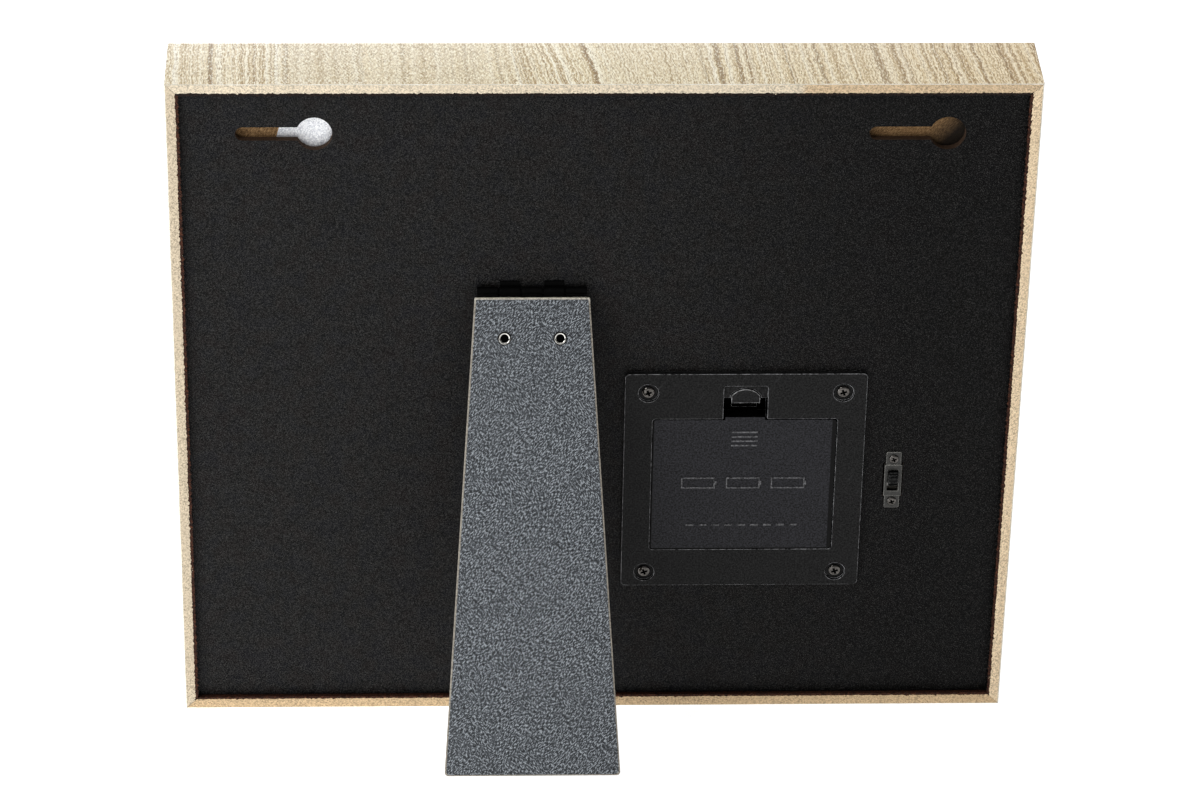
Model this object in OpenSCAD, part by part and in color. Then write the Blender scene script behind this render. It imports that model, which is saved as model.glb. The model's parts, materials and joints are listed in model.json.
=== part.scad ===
// Battery-lit box picture frame standing on its easel leg.
// Millimetres, +Z up. The picture faces -Y and the back of the frame faces +Y, so +X is on the
// left of someone who looks at the back. The frame leans back on its open leg: its lower rear
// edge and the leg's foot both touch Z = 0, and the origin is the middle of its footprint.

/* [Frame] */
// Overall width of the wooden frame
frame_w = 270; // [225:1:420]
// Overall height of the wooden frame
frame_h = 232; // [193:1:400]
// Overall depth of the wooden frame
frame_d = 28; // [28:0.5:60]
// Width of the thin rim around the back panel
rim_t = 3.5; // [2.5:0.1:5]
// Wall thickness of the rails in front of the back panel
wall_t = 8; // [6:0.5:12]
// Width of the lip around the front window
lip_w = 12; // [10:0.5:30]
// Thickness of that front lip
lip_t = 6; // [3:0.5:6]
// Open width of each mitre's glue line
mitre_gap = 0.1; // [0.05:0.05:0.4]

/* [Back panel] */
// Thickness of the black back panel
panel_t = 2.5; // [2:0.1:4]
// Depth of the panel's face below the rim
panel_recess = 2.5; // [2:0.1:6]
// Gap between the panel's edge and the rim
panel_gap = 0.35; // [0.1:0.05:1]

/* [Keyholes] */
// Diameter of the round entry of each keyhole
key_head_d = 11.2; // [8:0.1:13]
// Width of the keyhole's slot
key_slot_w = 4.5; // [3:0.1:6]
// From the centre of the round entry to the slot's far end
key_slot_l = 24.3; // [16:0.1:30]
// From the frame's top edge down to the keyholes
key_drop = 18.5; // [14:0.5:40]
// From the frame's +X side to the nearer round entry
key_inset_plus = 45.5; // [35:0.5:60]
// From the frame's -X side to the nearer round entry
key_inset_minus = 28.6; // [20:0.5:60]

/* [Picture stack] */
// Thickness of the clear front pane
pane_t = 1.5; // [1:0.1:2]
// Thickness of the picture film
print_t = 0.25; // [0.1:0.05:0.5]
// Thickness of the diffuser sheet
diffuser_t = 1.5; // [0.8:0.1:2]
// Thickness of the brown board that carries the lights
board_t = 2.5; // [2:0.1:4]
// Free space between that board and the back panel
board_gap = 1; // [0.8:0.1:3]
// Gap between the loose layers and the rails
layer_gap = 0.5; // [0.2:0.1:1.5]
// Width of the spacer strips along the rails
spacer_w = 6; // [4:0.5:8]

/* [Lights] */
// Width of a light strip
strip_w = 8; // [5:0.5:12]
// Thickness of a light strip
strip_t = 0.4; // [0.2:0.1:1]
// From the sides of the light board to the ends of a strip
strip_inset = 20; // [16:1:40]
// Height of the upper strip below the board's top edge
strip_top_drop = 24; // [20:1:40]
// Height of the lower strip above the board's bottom edge
strip_bottom_rise = 20; // [12:1:30]
// Number of lights on each strip
led_count = 8; // [4:1:14]
// Length of one light
led_l = 3.5; // [2:0.1:5]
// Width of one light
led_w = 2.8; // [2:0.1:4]
// Height of one light
led_t = 1.4; // [0.8:0.1:2]

/* [Easel leg] */
// Length of the leg
leg_l = 152.6; // [100:0.1:155]
// Width of the leg's top end
leg_top_w = 36.2; // [34:0.1:50]
// Width of the leg's foot
leg_foot_w = 55.8; // [40:0.1:58]
// Thickness of the leg's board
leg_t = 2.8; // [2:0.1:4]
// Thickness of the textured facing paper
facing_t = 0.3; // [0.2:0.05:0.6]
// Bare edge left around the facing paper
facing_inset = 0.5; // [0.2:0.1:1.5]
// Corner radius of the leg
leg_r = 1.2; // [0.5:0.1:3]
// Position of the leg's centreline
leg_x = 21.9; // [5:0.1:40]
// Angle between the open leg and the back panel
leg_open = 24; // [15:0.5:35]

/* [Leg hinge] */
// Height of the hinge pin above the frame's lower edge
hinge_z = 158.5; // [157:0.1:170]
// Width of the hinge
hinge_w = 34.6; // [30:0.2:45]
// Radius of the hinge pin
pin_r = 0.75; // [0.5:0.05:1]
// Running clearance between the pin and its knuckles
pin_fit = 0.05; // [0.02:0.01:0.1]
// Thickness of the hinge's sheet steel
leaf_t = 0.5; // [0.4:0.05:0.8]
// Extra thickness that rolling adds to the knuckles
curl_t = 0.1; // [0.05:0.05:0.2]
// Length of the hinge leaves from the pin
leaf_l = 19; // [16:0.5:24]
// Number of hinge knuckles
knuckle_n = 5; // [3:2:9]
// Gap between neighbouring knuckles
knuckle_gap = 0.3; // [0.2:0.05:0.5]
// Space between a turning knuckle and the panel
knuckle_lift = 0.3; // [0.2:0.05:0.6]
// Gap between the leg's top end and the knuckles
leg_top_gap = 0.4; // [0.3:0.1:1]
// Reach of the stop tabs past the pin
stop_l = 2.9; // [2.2:0.1:4]
// Gap under the stop tabs when the leg is open
stop_gap = 0.2; // [0.1:0.05:0.3]

/* [Eyelets and rivets] */
// Outer radius of an eyelet's rolled rim
eyelet_rim_r = 2.15; // [1.8:0.05:3]
// Radius of an eyelet's barrel
eyelet_r = 1.6; // [1.4:0.05:2]
// Radius of the hole through an eyelet
eyelet_hole_r = 1.25; // [0.9:0.05:1.3]
// Distance between the two eyelets
eyelet_pitch = 17.5; // [12:0.1:24]
// From the leg's top end to the eyelets
eyelet_drop = 12.7; // [9:0.1:14]
// Height of an eyelet's rolled rim
eyelet_rim_t = 0.45; // [0.3:0.05:0.8]
// Radius of a panel rivet's shank
rivet_r = 1.2; // [0.8:0.05:1.6]
// Radius of a panel rivet's heads
rivet_head_r = 2.1; // [1.8:0.05:2.6]
// Height of a panel rivet's heads
rivet_head_t = 0.6; // [0.3:0.05:0.8]
// From the hinge pin down to the panel rivets
rivet_drop = 7.5; // [6:0.1:9]

/* [Battery cells] */
// Diameter of one cell
cell_d = 14.3; // [10:0.1:14.5]
// Length of one cell with its terminal button
cell_l = 50.5; // [40:0.1:50.5]
// Length of the terminal button
cell_nub_l = 1.2; // [0.8:0.1:2]
// Radius of the terminal button
cell_nub_r = 2.6; // [1.5:0.1:3]
// Number of cells, side by side
cell_n = 3; // [1:1:3]
// Gap around each cell
cell_gap = 0.5; // [0.3:0.05:1]
// Room for a contact spring
spring_room = 5.2; // [4:0.1:7]
// Room for a flat contact
contact_room = 1.3; // [1:0.1:2]

/* [Battery box] */
// Width of the box's flange
flange_w = 77.4; // [75:0.1:90]
// Height of the box's flange
flange_h = 80.3; // [80:0.1:100]
// Thickness of the flange
flange_t = 2; // [1.9:0.1:2.5]
// Corner radius of the flange
flange_r = 1.5; // [0.5:0.1:4]
// Centre of the flange, across
case_x = -46.8; // [-60:0.1:-44]
// Centre of the flange, above the frame's lower edge
case_z = 87.8; // [78:0.1:110]
// How far the battery bay sits below the flange's centre
bay_drop = 1.45; // [0.5:0.05:2.5]
// Wall thickness of the box
case_wall = 1.2; // [1:0.1:1.5]
// Width of the cover's seat beyond each end of the cells
seat_end = 1.2; // [1:0.1:2]
// Width of the cover's seat above and below the cells
seat_side = 2.4; // [2:0.1:3]
// Clearance between the case and the holes in the panel and board
cutout_gap = 0.4; // [0.2:0.1:1]
// Radius of the counterbore round each case screw
case_bore_r = 3.3; // [2.8:0.1:4]
// Depth of that counterbore
case_bore_t = 1; // [0.5:0.1:1.2]
// From the flange's sides to the case screws
case_screw_side = 7.5; // [6:0.1:12]
// From the flange's top edge to the upper screws
case_screw_top = 7.1; // [6:0.1:12]
// From the flange's lower edge to the lower screws
case_screw_low = 5.1; // [4.5:0.1:12]

/* [Battery cover] */
// Thickness of the cover
cover_t = 1.6; // [1.2:0.1:1.8]
// Gap round the cover
cover_gap = 0.3; // [0.2:0.05:0.6]
// Corner radius of the cover
cover_r = 1; // [0.5:0.1:3]
// Half width of the tab at the cover's top edge
tab_hw = 6.4; // [5:0.1:8]
// Reach of that tab past the top edge
tab_rise = 1; // [0.5:0.1:1.5]
// Distance of each lower hook from the cover's centreline
hook_x = 18; // [10:0.5:22]
// Half width of a lower hook
hook_hw = 3.5; // [2:0.1:5]
// Reach of a lower hook under the flange
hook_reach = 1.8; // [1:0.1:2]
// Thickness of a lower hook
hook_t = 1; // [0.8:0.1:1.2]
// Height of the raised marks on the cover
relief_t = 0.25; // [0.15:0.05:0.4]

/* [Battery latch] */
// Half width of the opening above the cover's tab
notch_hw = 7.1; // [6:0.1:9]
// Height of the opening above the cover's edge
notch_h = 12.2; // [11.5:0.1:13]
// Depth of the shallow step round the latch tongue
notch_t = 0.9; // [0.5:0.1:1.2]
// Half width of the tongue
tongue_hw = 4.6; // [3:0.1:6]
// Lower edge of the tongue above the cover's edge
tongue_low = 5.6; // [5:0.1:7]
// Height of the tongue
tongue_h = 5.1; // [4:0.1:5.5]
// Height of the tongue's arch
tongue_arch = 2.5; // [1.5:0.1:3]
// Thickness of the tongue
tongue_t = 1.2; // [1:0.1:1.4]
// Depth of the latch spring's loop behind the cover's face
loop_d = 7.5; // [6:0.1:9]
// Thickness of the latch spring
loop_t = 1; // [0.8:0.1:1.2]
// Half width of the latch spring
loop_hw = 4.2; // [3:0.1:5]
// Travel of the latch
latch_travel = 1.5; // [0.8:0.1:1.5]

/* [Slide switch] */
// Position of the switch, across
switch_x = -95.5; // [-100:0.1:-92]
// Height of the switch above the frame's lower edge
switch_z = 87; // [40:0.5:125]
// Length of the steel bracket
bracket_l = 21.1; // [20:0.1:26]
// Width of the bracket's ears
bracket_w = 4.8; // [4.4:0.1:8]
// Thickness of the bracket's sheet
bracket_t = 0.5; // [0.3:0.05:0.6]
// Length of the raised middle
can_l = 11.7; // [11:0.1:12]
// Width of the raised middle
can_w = 5.6; // [5.2:0.1:8]
// Height of the raised middle above the ears
can_rise = 0.4; // [0.2:0.05:0.8]
// Depth of the steel can behind the panel's face
can_d = 4; // [3.5:0.1:6]
// Distance between the two switch screws
switch_pitch = 16; // [15.5:0.1:20]
// Length of the slot
slot_l = 7.9; // [7:0.1:8.5]
// Width of the slot
slot_w = 3.7; // [3.4:0.1:4]
// Length of the knob along the slot
knob_l = 4.9; // [3:0.1:5]
// Gap between the knob and the slot
knob_gap = 0.25; // [0.15:0.05:0.4]
// Height of the knob above the bracket
knob_h = 1.3; // [0.8:0.1:3]

/* [Screws] */
// Shank radius of the case screws
case_screw_r = 1.2; // [1:0.05:1.5]
// Head radius of the case screws
case_head_r = 2.1; // [1.8:0.05:2.5]
// Length of the case screws under the head
case_screw_l = 6.5; // [5:0.1:7]
// Shank radius of the switch screws
switch_screw_r = 0.8; // [0.6:0.05:1]
// Head radius of the switch screws
switch_head_r = 1.6; // [1.4:0.05:2]
// Length of the switch screws under the head
switch_screw_l = 5; // [4:0.1:6]
// Clearance between a screw and the hole it passes through
screw_fit = 0.15; // [0.05:0.05:0.3]

/* [Wiring] */
// Radius of the insulated wires
wire_r = 0.6; // [0.4:0.05:0.7]
// Clearance between the wires and the light board
wire_gap = 0.2; // [0.1:0.05:0.4]

/* [Hidden] */
$fn = 48;

// A cut is taken this much past the face that it opens
over = 1;
// Deeper than anything that a through cut has to pass
deep = 100;

// Faces along the frame's depth, from its rim at 0 towards the picture
panel_y = -panel_recess;
panel_in_y = panel_y - panel_t;
board_out_y = panel_in_y - board_gap;
board_in_y = board_out_y - board_t;
lip_in_y = lip_t - frame_d;
pane_in_y = lip_in_y + pane_t;
film_in_y = pane_in_y + print_t;
diffuser_in_y = film_in_y + diffuser_t;

// Inside size between the rails, and the loose layers that fill it
layer_w = frame_w - 2 * (wall_t + layer_gap);
layer_h = frame_h - 2 * (wall_t + layer_gap);
panel_w = frame_w - 2 * (rim_t + panel_gap);
panel_h = frame_h - 2 * (rim_t + panel_gap);

// Keyholes
key_z = frame_h - key_drop;
key_plus_x = frame_w / 2 - key_inset_plus;
key_minus_x = key_inset_minus - frame_w / 2;

// Leg hinge: the leg is drawn closed, flat against the panel, and then opened about its pin
knuckle_r = pin_r + pin_fit + leaf_t + curl_t;
pin_y = panel_y + knuckle_lift + knuckle_r;
moving_leaf_y = pin_y + pin_r + pin_fit;
leg_in_y = moving_leaf_y + leaf_t;
leg_out_y = leg_in_y + leg_t;
leg_top_z = hinge_z - knuckle_r - leg_top_gap;
eyelet_z = leg_top_z - eyelet_drop;
rivet_z = hinge_z - rivet_drop;
knuckle_l = (hinge_w - (knuckle_n - 1) * knuckle_gap) / knuckle_n;
// The sheet is a little narrower than the knuckle that it rolls into
roll_inset = 0.2;
leaf_cut_w = knuckle_l + 2 * (knuckle_gap + roll_inset);

// Lean of the frame: the inner corner of the open leg's foot lands on the floor
foot_dy = leg_in_y - pin_y;
foot_dz = leg_top_z - leg_l - hinge_z;
foot_y = pin_y + foot_dy * cos(leg_open) - foot_dz * sin(leg_open);
foot_z = hinge_z + foot_dz * cos(leg_open) + foot_dy * sin(leg_open);
lean = atan2(foot_z, foot_y);
// Footprint along Y, from the front lower edge to whatever reaches furthest back
foot_out_dy = leg_out_y + facing_t - pin_y;
foot_out_y = pin_y + foot_out_dy * cos(leg_open) - foot_dz * sin(leg_open);
foot_out_z = hinge_z + foot_dz * cos(leg_open) + foot_out_dy * sin(leg_open);
reach_leg = foot_out_y * cos(lean) + foot_out_z * sin(lean);
reach_top = frame_h * sin(lean);
reach_front = -frame_d * cos(lean);
mid_y = (max(reach_leg, reach_top) + reach_front) / 2;

// Battery box
bay_l = cell_l + spring_room + contact_room;
bay_h = cell_n * cell_d + (cell_n + 1) * cell_gap;
bay_z = case_z - bay_drop;
seat_w = bay_l + 2 * seat_end;
seat_h = bay_h + 2 * seat_side;
seat_top = bay_z + seat_h / 2;
seat_low = bay_z - seat_h / 2;
flange_y = panel_y + flange_t;
cover_in_y = flange_y - cover_t;
seat_y = cover_in_y - cover_gap;
cell_y = seat_y - cell_gap - cell_d / 2;
bay_floor_y = cell_y - cell_d / 2 - 0.2;
case_floor_y = bay_floor_y - 1.1;
shelf_y = seat_y - 4;
case_top = case_z + flange_h / 2;
case_low = case_z - flange_h / 2;
case_screw_x = flange_w / 2 - case_screw_side;
case_screw_zs = [case_low + case_screw_low, case_top - case_screw_top];
case_head_y = flange_y - case_bore_t;

// Battery cover: it swings about its outer lower edge
cover_low = seat_low + cover_gap;
cover_top = seat_top - cover_gap;
cover_pivot_y = flange_y;
cover_pivot_z = cover_low;
hook_out_y = panel_y - cover_gap;
hook_in_y = hook_out_y - hook_t;
hook_swing = norm([hook_reach, cover_pivot_y - hook_in_y]) + cover_gap;

// Battery latch: a spring loop whose outer arm carries the tongue
tongue_z = seat_top + tongue_low;
tongue_top = tongue_z + tongue_h;
tongue_y = flange_y - 0.6;
arch_r = (tongue_hw * tongue_hw + tongue_arch * tongue_arch) / (2 * tongue_arch);
loop_y = flange_y - loop_d;
pocket_top = tongue_z + loop_t + 0.8;
pocket_low = bay_z + bay_h / 2 + case_wall;
pocket_y = loop_y - cover_gap;
tab_top = cover_top + tab_rise;
loop_low = pocket_low + latch_travel + cover_gap;

// Slide switch
slot_top = switch_z + slot_l / 2;
knob_top = slot_top - knob_gap;
knob_travel = slot_l - knob_l - 2 * knob_gap;
can_y = panel_y + bracket_t + can_rise;
can_in_y = can_y - bracket_t;
base_y = panel_y - can_d;
base_out_y = base_y + 1.4;
base_in_y = base_y - 1;
slider_t = 1.2;
slider_l = knob_l + 2.4;
slider_w = can_w - 2 * bracket_t - 2 * knob_gap;
terminal_pitch = 3;

// Light strips
strip_l = layer_w - 2 * strip_inset;
strip_upper_z = (frame_h + layer_h) / 2 - strip_top_drop;
strip_lower_z = (frame_h - layer_h) / 2 + strip_bottom_rise;
led_step = strip_l / led_count;

// Wiring runs flat on the front face of the light board
wire_y = board_in_y - wire_gap - wire_r;
wire_sides = 8;

// Puts everything on its lean, with the origin in the middle of the footprint
module stand() {
    translate([0, -mid_y, 0]) rotate([-lean, 0, 0]) children();
}

// Opens the leg from flat against the panel to its resting angle
module opened() {
    translate([0, pin_y, hinge_z])
        rotate([leg_open, 0, 0])
        translate([0, -pin_y, -hinge_z]) children();
}

// Turns a drawing in X and Z into a slab from depth y0 out to depth y1
module slab(y0, y1) {
    translate([0, y1, 0]) rotate([90, 0, 0]) linear_extrude(y1 - y0) children();
}

// Rectangle with its centre at x, z
module block2d(x, z, w, h) {
    translate([x - w / 2, z - h / 2]) square([w, h]);
}

// Rectangle with round corners and its centre at x, z
module round2d(x, z, w, h, r) {
    block2d(x, z, w - 2 * r, h);
    block2d(x, z, w, h - 2 * r);
    for (sx = [-1, 1], sz = [-1, 1])
        translate([x + sx * (w / 2 - r), z + sz * (h / 2 - r)]) circle(r);
}

// Disc at x, z
module disc2d(x, z, r) {
    translate([x, z]) circle(r);
}

// Round rod along X
module rod_x(x0, x1, y, z, r) {
    translate([x0, y, z]) rotate([0, 90, 0]) cylinder(h = x1 - x0, r = r);
}

// Section of a rail, from the frame's outer side inwards
module rail_section() {
    polygon([
        [-frame_d, 0], [0, 0], [0, rim_t], [panel_in_y, rim_t], [panel_in_y, wall_t],
        [lip_in_y, wall_t], [lip_in_y, lip_w], [-frame_d, lip_w],
    ]);
}

// One mitred rail of the given outer length, lying along X with its outer side down
module rail(len) {
    end = len / 2 - mitre_gap / 2;
    intersection() {
        translate([-len / 2, 0, 0]) rotate([90, 0, 90]) linear_extrude(len) rail_section();
        slab(-frame_d - over, over)
            polygon([[-end, 0], [end, 0], [end - lip_w, lip_w], [lip_w - end, lip_w]]);
    }
}

module rail_bottom() {
    color("tan") stand() rail(frame_w);
}

module rail_top() {
    color("tan") stand() translate([0, 0, frame_h]) rotate([0, 180, 0]) rail(frame_w);
}

module rail_left() {
    color("tan") stand() translate([-frame_w / 2, 0, frame_h / 2]) rotate([0, 90, 0]) rail(frame_h);
}

module rail_right() {
    color("tan") stand() translate([frame_w / 2, 0, frame_h / 2]) rotate([0, -90, 0]) rail(frame_h);
}

// Outline of one keyhole: its slot runs towards +X from the round entry
module keyhole2d(x) {
    disc2d(x, key_z, key_head_d / 2);
    translate([x, key_z - key_slot_w / 2]) square([key_slot_l - key_slot_w / 2, key_slot_w]);
    disc2d(x + key_slot_l - key_slot_w / 2, key_z, key_slot_w / 2);
}

// Holes that the battery box and the switch need in the panel and the board
module back_cutouts2d() {
    pocket_h = pocket_top + case_wall + cutout_gap - bay_z;
    block2d(case_x, bay_z, seat_w + 2 * cutout_gap, seat_h + 2 * (case_wall + cutout_gap));
    block2d(case_x, bay_z + pocket_h / 2, 2 * (notch_hw + case_wall + cutout_gap), pocket_h);
    block2d(switch_x, switch_z, can_w + 2 * cutout_gap, can_l + 2 * cutout_gap);
}

// Holes for the case screws and the switch screws, at the screws' own radius
module screw_holes2d() {
    for (sx = [-1, 1], z = case_screw_zs) disc2d(case_x + sx * case_screw_x, z, case_screw_r);
    for (sz = [-1, 1]) disc2d(switch_x, switch_z + sz * switch_pitch / 2, switch_screw_r);
}

module back_panel() {
    color("dimgray") stand() slab(panel_in_y, panel_y) difference() {
        block2d(0, frame_h / 2, panel_w, panel_h);
        keyhole2d(key_plus_x);
        keyhole2d(key_minus_x);
        back_cutouts2d();
        screw_holes2d();
        for (s = [-1, 1]) disc2d(leg_x + s * eyelet_pitch / 2, rivet_z, rivet_r);
    }
}

module front_pane() {
    color("lightcyan", 0.4) stand() slab(lip_in_y, pane_in_y)
        block2d(0, frame_h / 2, layer_w, layer_h);
}

module picture_film() {
    color("peachpuff") stand() slab(pane_in_y, film_in_y)
        block2d(0, frame_h / 2, layer_w, layer_h);
}

module diffuser_sheet() {
    color("ivory") stand() slab(film_in_y, diffuser_in_y)
        block2d(0, frame_h / 2, layer_w, layer_h);
}

module light_board() {
    color("peru") stand() slab(board_in_y, board_out_y) difference() {
        block2d(0, frame_h / 2, layer_w, layer_h);
        back_cutouts2d();
        screw_holes2d();
    }
}

// Spacer strips between the diffuser and the light board
module spacer2d(x, z, w, h) {
    color("white") stand() slab(diffuser_in_y, board_in_y) block2d(x, z, w, h);
}

module spacer_top() {
    spacer2d(0, (frame_h + layer_h - spacer_w) / 2, layer_w, spacer_w);
}

module spacer_bottom() {
    spacer2d(0, (frame_h - layer_h + spacer_w) / 2, layer_w, spacer_w);
}

module spacer_left() {
    spacer2d((spacer_w - layer_w) / 2, frame_h / 2, spacer_w, layer_h - 2 * spacer_w);
}

module spacer_right() {
    spacer2d((layer_w - spacer_w) / 2, frame_h / 2, spacer_w, layer_h - 2 * spacer_w);
}

module led_strip(z) {
    color("white") stand() slab(board_in_y - strip_t, board_in_y)
        block2d(0, z, strip_l, strip_w);
}

module leds(z) {
    color("lemonchiffon") stand()
        for (i = [0 : led_count - 1])
            slab(board_in_y - strip_t - led_t, board_in_y - strip_t)
                block2d((i + 0.5) * led_step - strip_l / 2, z, led_l, led_w);
}

// Silver tape on the back of the light board, behind the +X keyhole, with one slanted end
module foil_patch() {
    tape_t = 0.15;
    tape_h = 18;
    tape_slant = 4.5;
    tape_near = key_plus_x - 14;
    tape_far = key_plus_x + 11;
    color("silver") stand() slab(board_out_y, board_out_y + tape_t)
        polygon([
            [tape_near, key_z - tape_h / 2], [tape_far + tape_slant / 2, key_z - tape_h / 2],
            [tape_far - tape_slant / 2, key_z + tape_h / 2], [tape_near, key_z + tape_h / 2],
        ]);
}

// Outline of the tapered leg, drawn in by d all round, with the foot's corners rounded
module leg2d(d) {
    low = leg_top_z - leg_l + d;
    top = leg_top_z - d;
    foot = leg_foot_w / 2 - d;
    head = leg_top_w / 2 - d;
    r = leg_r;
    translate([leg_x, 0]) {
        polygon([
            [-foot + r, low], [foot - r, low], [foot, low + r],
            [head, top], [-head, top], [-foot, low + r],
        ]);
        for (s = [-1, 1]) translate([s * (foot - r), low + r]) circle(r);
    }
}

module eyelet_holes2d(r) {
    for (s = [-1, 1]) disc2d(leg_x + s * eyelet_pitch / 2, eyelet_z, r);
}

module leg_core() {
    color("wheat") stand() opened() slab(leg_in_y, leg_out_y) difference() {
        leg2d(0);
        eyelet_holes2d(eyelet_r);
    }
}

module leg_facing() {
    color("slategray") stand() opened() slab(leg_out_y, leg_out_y + facing_t) difference() {
        leg2d(facing_inset);
        eyelet_holes2d(eyelet_r);
    }
}

// Hollow eyelets through the facing, the board and the moving leaf
module leg_eyelets() {
    face_y = leg_out_y + facing_t;
    color("gainsboro") stand() opened() for (s = [-1, 1]) {
        x = leg_x + s * eyelet_pitch / 2;
        difference() {
            union() {
                slab(moving_leaf_y - eyelet_rim_t, moving_leaf_y) disc2d(x, eyelet_z, eyelet_rim_r);
                slab(moving_leaf_y - eyelet_rim_t, face_y + eyelet_rim_t)
                    disc2d(x, eyelet_z, eyelet_r);
                slab(face_y, face_y + eyelet_rim_t) disc2d(x, eyelet_z, eyelet_rim_r);
            }
            slab(moving_leaf_y - over, face_y + over) disc2d(x, eyelet_z, eyelet_hole_r);
        }
    }
}

// Left end of hinge knuckle i
function knuckle_x(i) = leg_x - hinge_w / 2 + i * (knuckle_l + knuckle_gap);

// Even knuckles belong to the fixed leaf and odd ones to the moving leaf
module hinge_fixed_leaf() {
    color("dimgray") stand() difference() {
        union() {
            slab(panel_y, panel_y + leaf_t)
                translate([leg_x - hinge_w / 2, hinge_z - leaf_l])
                square([hinge_w, leaf_l - pin_r / 2]);
            for (i = [0 : 2 : knuckle_n - 1])
                rod_x(knuckle_x(i), knuckle_x(i) + knuckle_l, pin_y, hinge_z, knuckle_r);
        }
        for (i = [1 : 2 : knuckle_n - 1])
            translate([
                knuckle_x(i) - knuckle_gap - roll_inset, panel_y - over,
                hinge_z - knuckle_r - knuckle_gap - leaf_t,
            ])
                cube([leaf_cut_w, 4 * knuckle_r, 4 * knuckle_r]);
        rod_x(leg_x - hinge_w, leg_x + hinge_w, pin_y, hinge_z, pin_r + pin_fit);
        slab(panel_y - over, panel_y + over)
            for (s = [-1, 1]) disc2d(leg_x + s * eyelet_pitch / 2, rivet_z, rivet_r);
    }
}

// The moving leaf has a tab past the pin on each knuckle that stops the leg at its open angle
module hinge_moving_leaf() {
    color("dimgray") stand() difference() {
        union() {
            opened() slab(moving_leaf_y, moving_leaf_y + leaf_t)
                translate([leg_x - hinge_w / 2, hinge_z - leaf_l])
                square([hinge_w, leaf_l - pin_r / 2]);
            for (i = [1 : 2 : knuckle_n - 1]) {
                rod_x(knuckle_x(i), knuckle_x(i) + knuckle_l, pin_y, hinge_z, knuckle_r);
                slab(panel_y + stop_gap, panel_y + stop_gap + leaf_t)
                    translate([knuckle_x(i) + roll_inset, hinge_z])
                    square([knuckle_l - 2 * roll_inset, stop_l]);
            }
        }
        opened() for (i = [0 : 2 : knuckle_n - 1])
            translate([
                knuckle_x(i) - knuckle_gap - roll_inset, moving_leaf_y - over,
                hinge_z - knuckle_r - knuckle_gap,
            ])
                cube([leaf_cut_w, 4 * knuckle_r, 4 * knuckle_r]);
        rod_x(leg_x - hinge_w, leg_x + hinge_w, pin_y, hinge_z, pin_r + pin_fit);
        opened() slab(moving_leaf_y - over, moving_leaf_y + over) eyelet_holes2d(eyelet_r);
    }
}

module hinge_pin() {
    color("silver") stand()
        rod_x(leg_x - hinge_w / 2, leg_x + hinge_w / 2, pin_y, hinge_z, pin_r);
}

// Rivets that hold the fixed leaf to the back panel, under the leg
module panel_rivets() {
    color("silver") stand() for (s = [-1, 1]) {
        x = leg_x + s * eyelet_pitch / 2;
        slab(panel_in_y - rivet_head_t, panel_in_y) disc2d(x, rivet_z, rivet_head_r);
        slab(panel_in_y - rivet_head_t, panel_y + leaf_t + rivet_head_t) disc2d(x, rivet_z, rivet_r);
        slab(panel_y + leaf_t, panel_y + leaf_t + rivet_head_t) disc2d(x, rivet_z, rivet_head_r);
    }
}

// Arch-topped outline of the latch tongue, grown by d
module tongue2d(d) {
    intersection() {
        disc2d(case_x, tongue_top - arch_r, arch_r + d);
        translate([case_x - tongue_hw - d, tongue_z - d])
            square([2 * (tongue_hw + d), 2 * tongue_h]);
    }
}

module battery_case() {
    color("#2b2c2e") stand() difference() {
        union() {
            slab(panel_y, flange_y) round2d(case_x, case_z, flange_w, flange_h, flange_r);
            slab(case_floor_y, panel_y)
                block2d(case_x, bay_z, bay_l + 2 * case_wall, bay_h + 2 * case_wall);
            slab(shelf_y, panel_y) block2d(case_x, bay_z, seat_w, seat_h + 2 * case_wall);
            slab(pocket_y - case_wall, panel_y)
                translate([case_x - notch_hw - case_wall, pocket_low])
                square([2 * (notch_hw + case_wall), pocket_top + case_wall - pocket_low]);
        }
        // Seat for the cover and the bay behind it
        slab(seat_y, flange_y + over) round2d(case_x, bay_z, seat_w, seat_h, cover_r);
        slab(bay_floor_y, flange_y) block2d(case_x, bay_z, bay_l, bay_h);
        // Pockets in which the cover's lower hooks turn
        slab(cover_pivot_y - hook_swing - cover_gap, seat_y)
            for (s = [-1, 1])
                translate([case_x + s * hook_x - hook_hw - cover_gap, cover_low - hook_reach - cover_gap])
                square([2 * (hook_hw + cover_gap), hook_reach + seat_side + case_wall]);
        // Latch pocket, the step round the tongue and the tongue's own aperture
        slab(pocket_y, flange_y + over)
            translate([case_x - notch_hw, pocket_low])
            square([2 * notch_hw, pocket_top - pocket_low]);
        slab(flange_y - notch_t, flange_y + over)
            round2d(case_x, seat_top + notch_h / 2, 2 * notch_hw, notch_h, cover_r);
        slab(panel_y - over, flange_y) tongue2d(cover_gap);
        // Counterbored screw holes
        for (sx = [-1, 1], z = case_screw_zs) {
            slab(case_head_y, flange_y + over) disc2d(case_x + sx * case_screw_x, z, case_bore_r);
            slab(panel_y - over, flange_y)
                disc2d(case_x + sx * case_screw_x, z, case_screw_r + screw_fit);
        }
        // Wire exits through the -X wall
        for (z = wire_exit_zs)
            rod_x(case_x - deep / 2, case_x - bay_l / 2 + over / 2, wire_y, z, wire_r + screw_fit);
    }
}

// Raised outline of one cell, used as a plain marking
module cell_mark2d(x, z, w, h, line) {
    difference() {
        block2d(x, z, w, h);
        block2d(x, z, w - 2 * line, h - 2 * line);
    }
    block2d(x - (w + line) / 2, z, line, h / 3);
}

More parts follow.
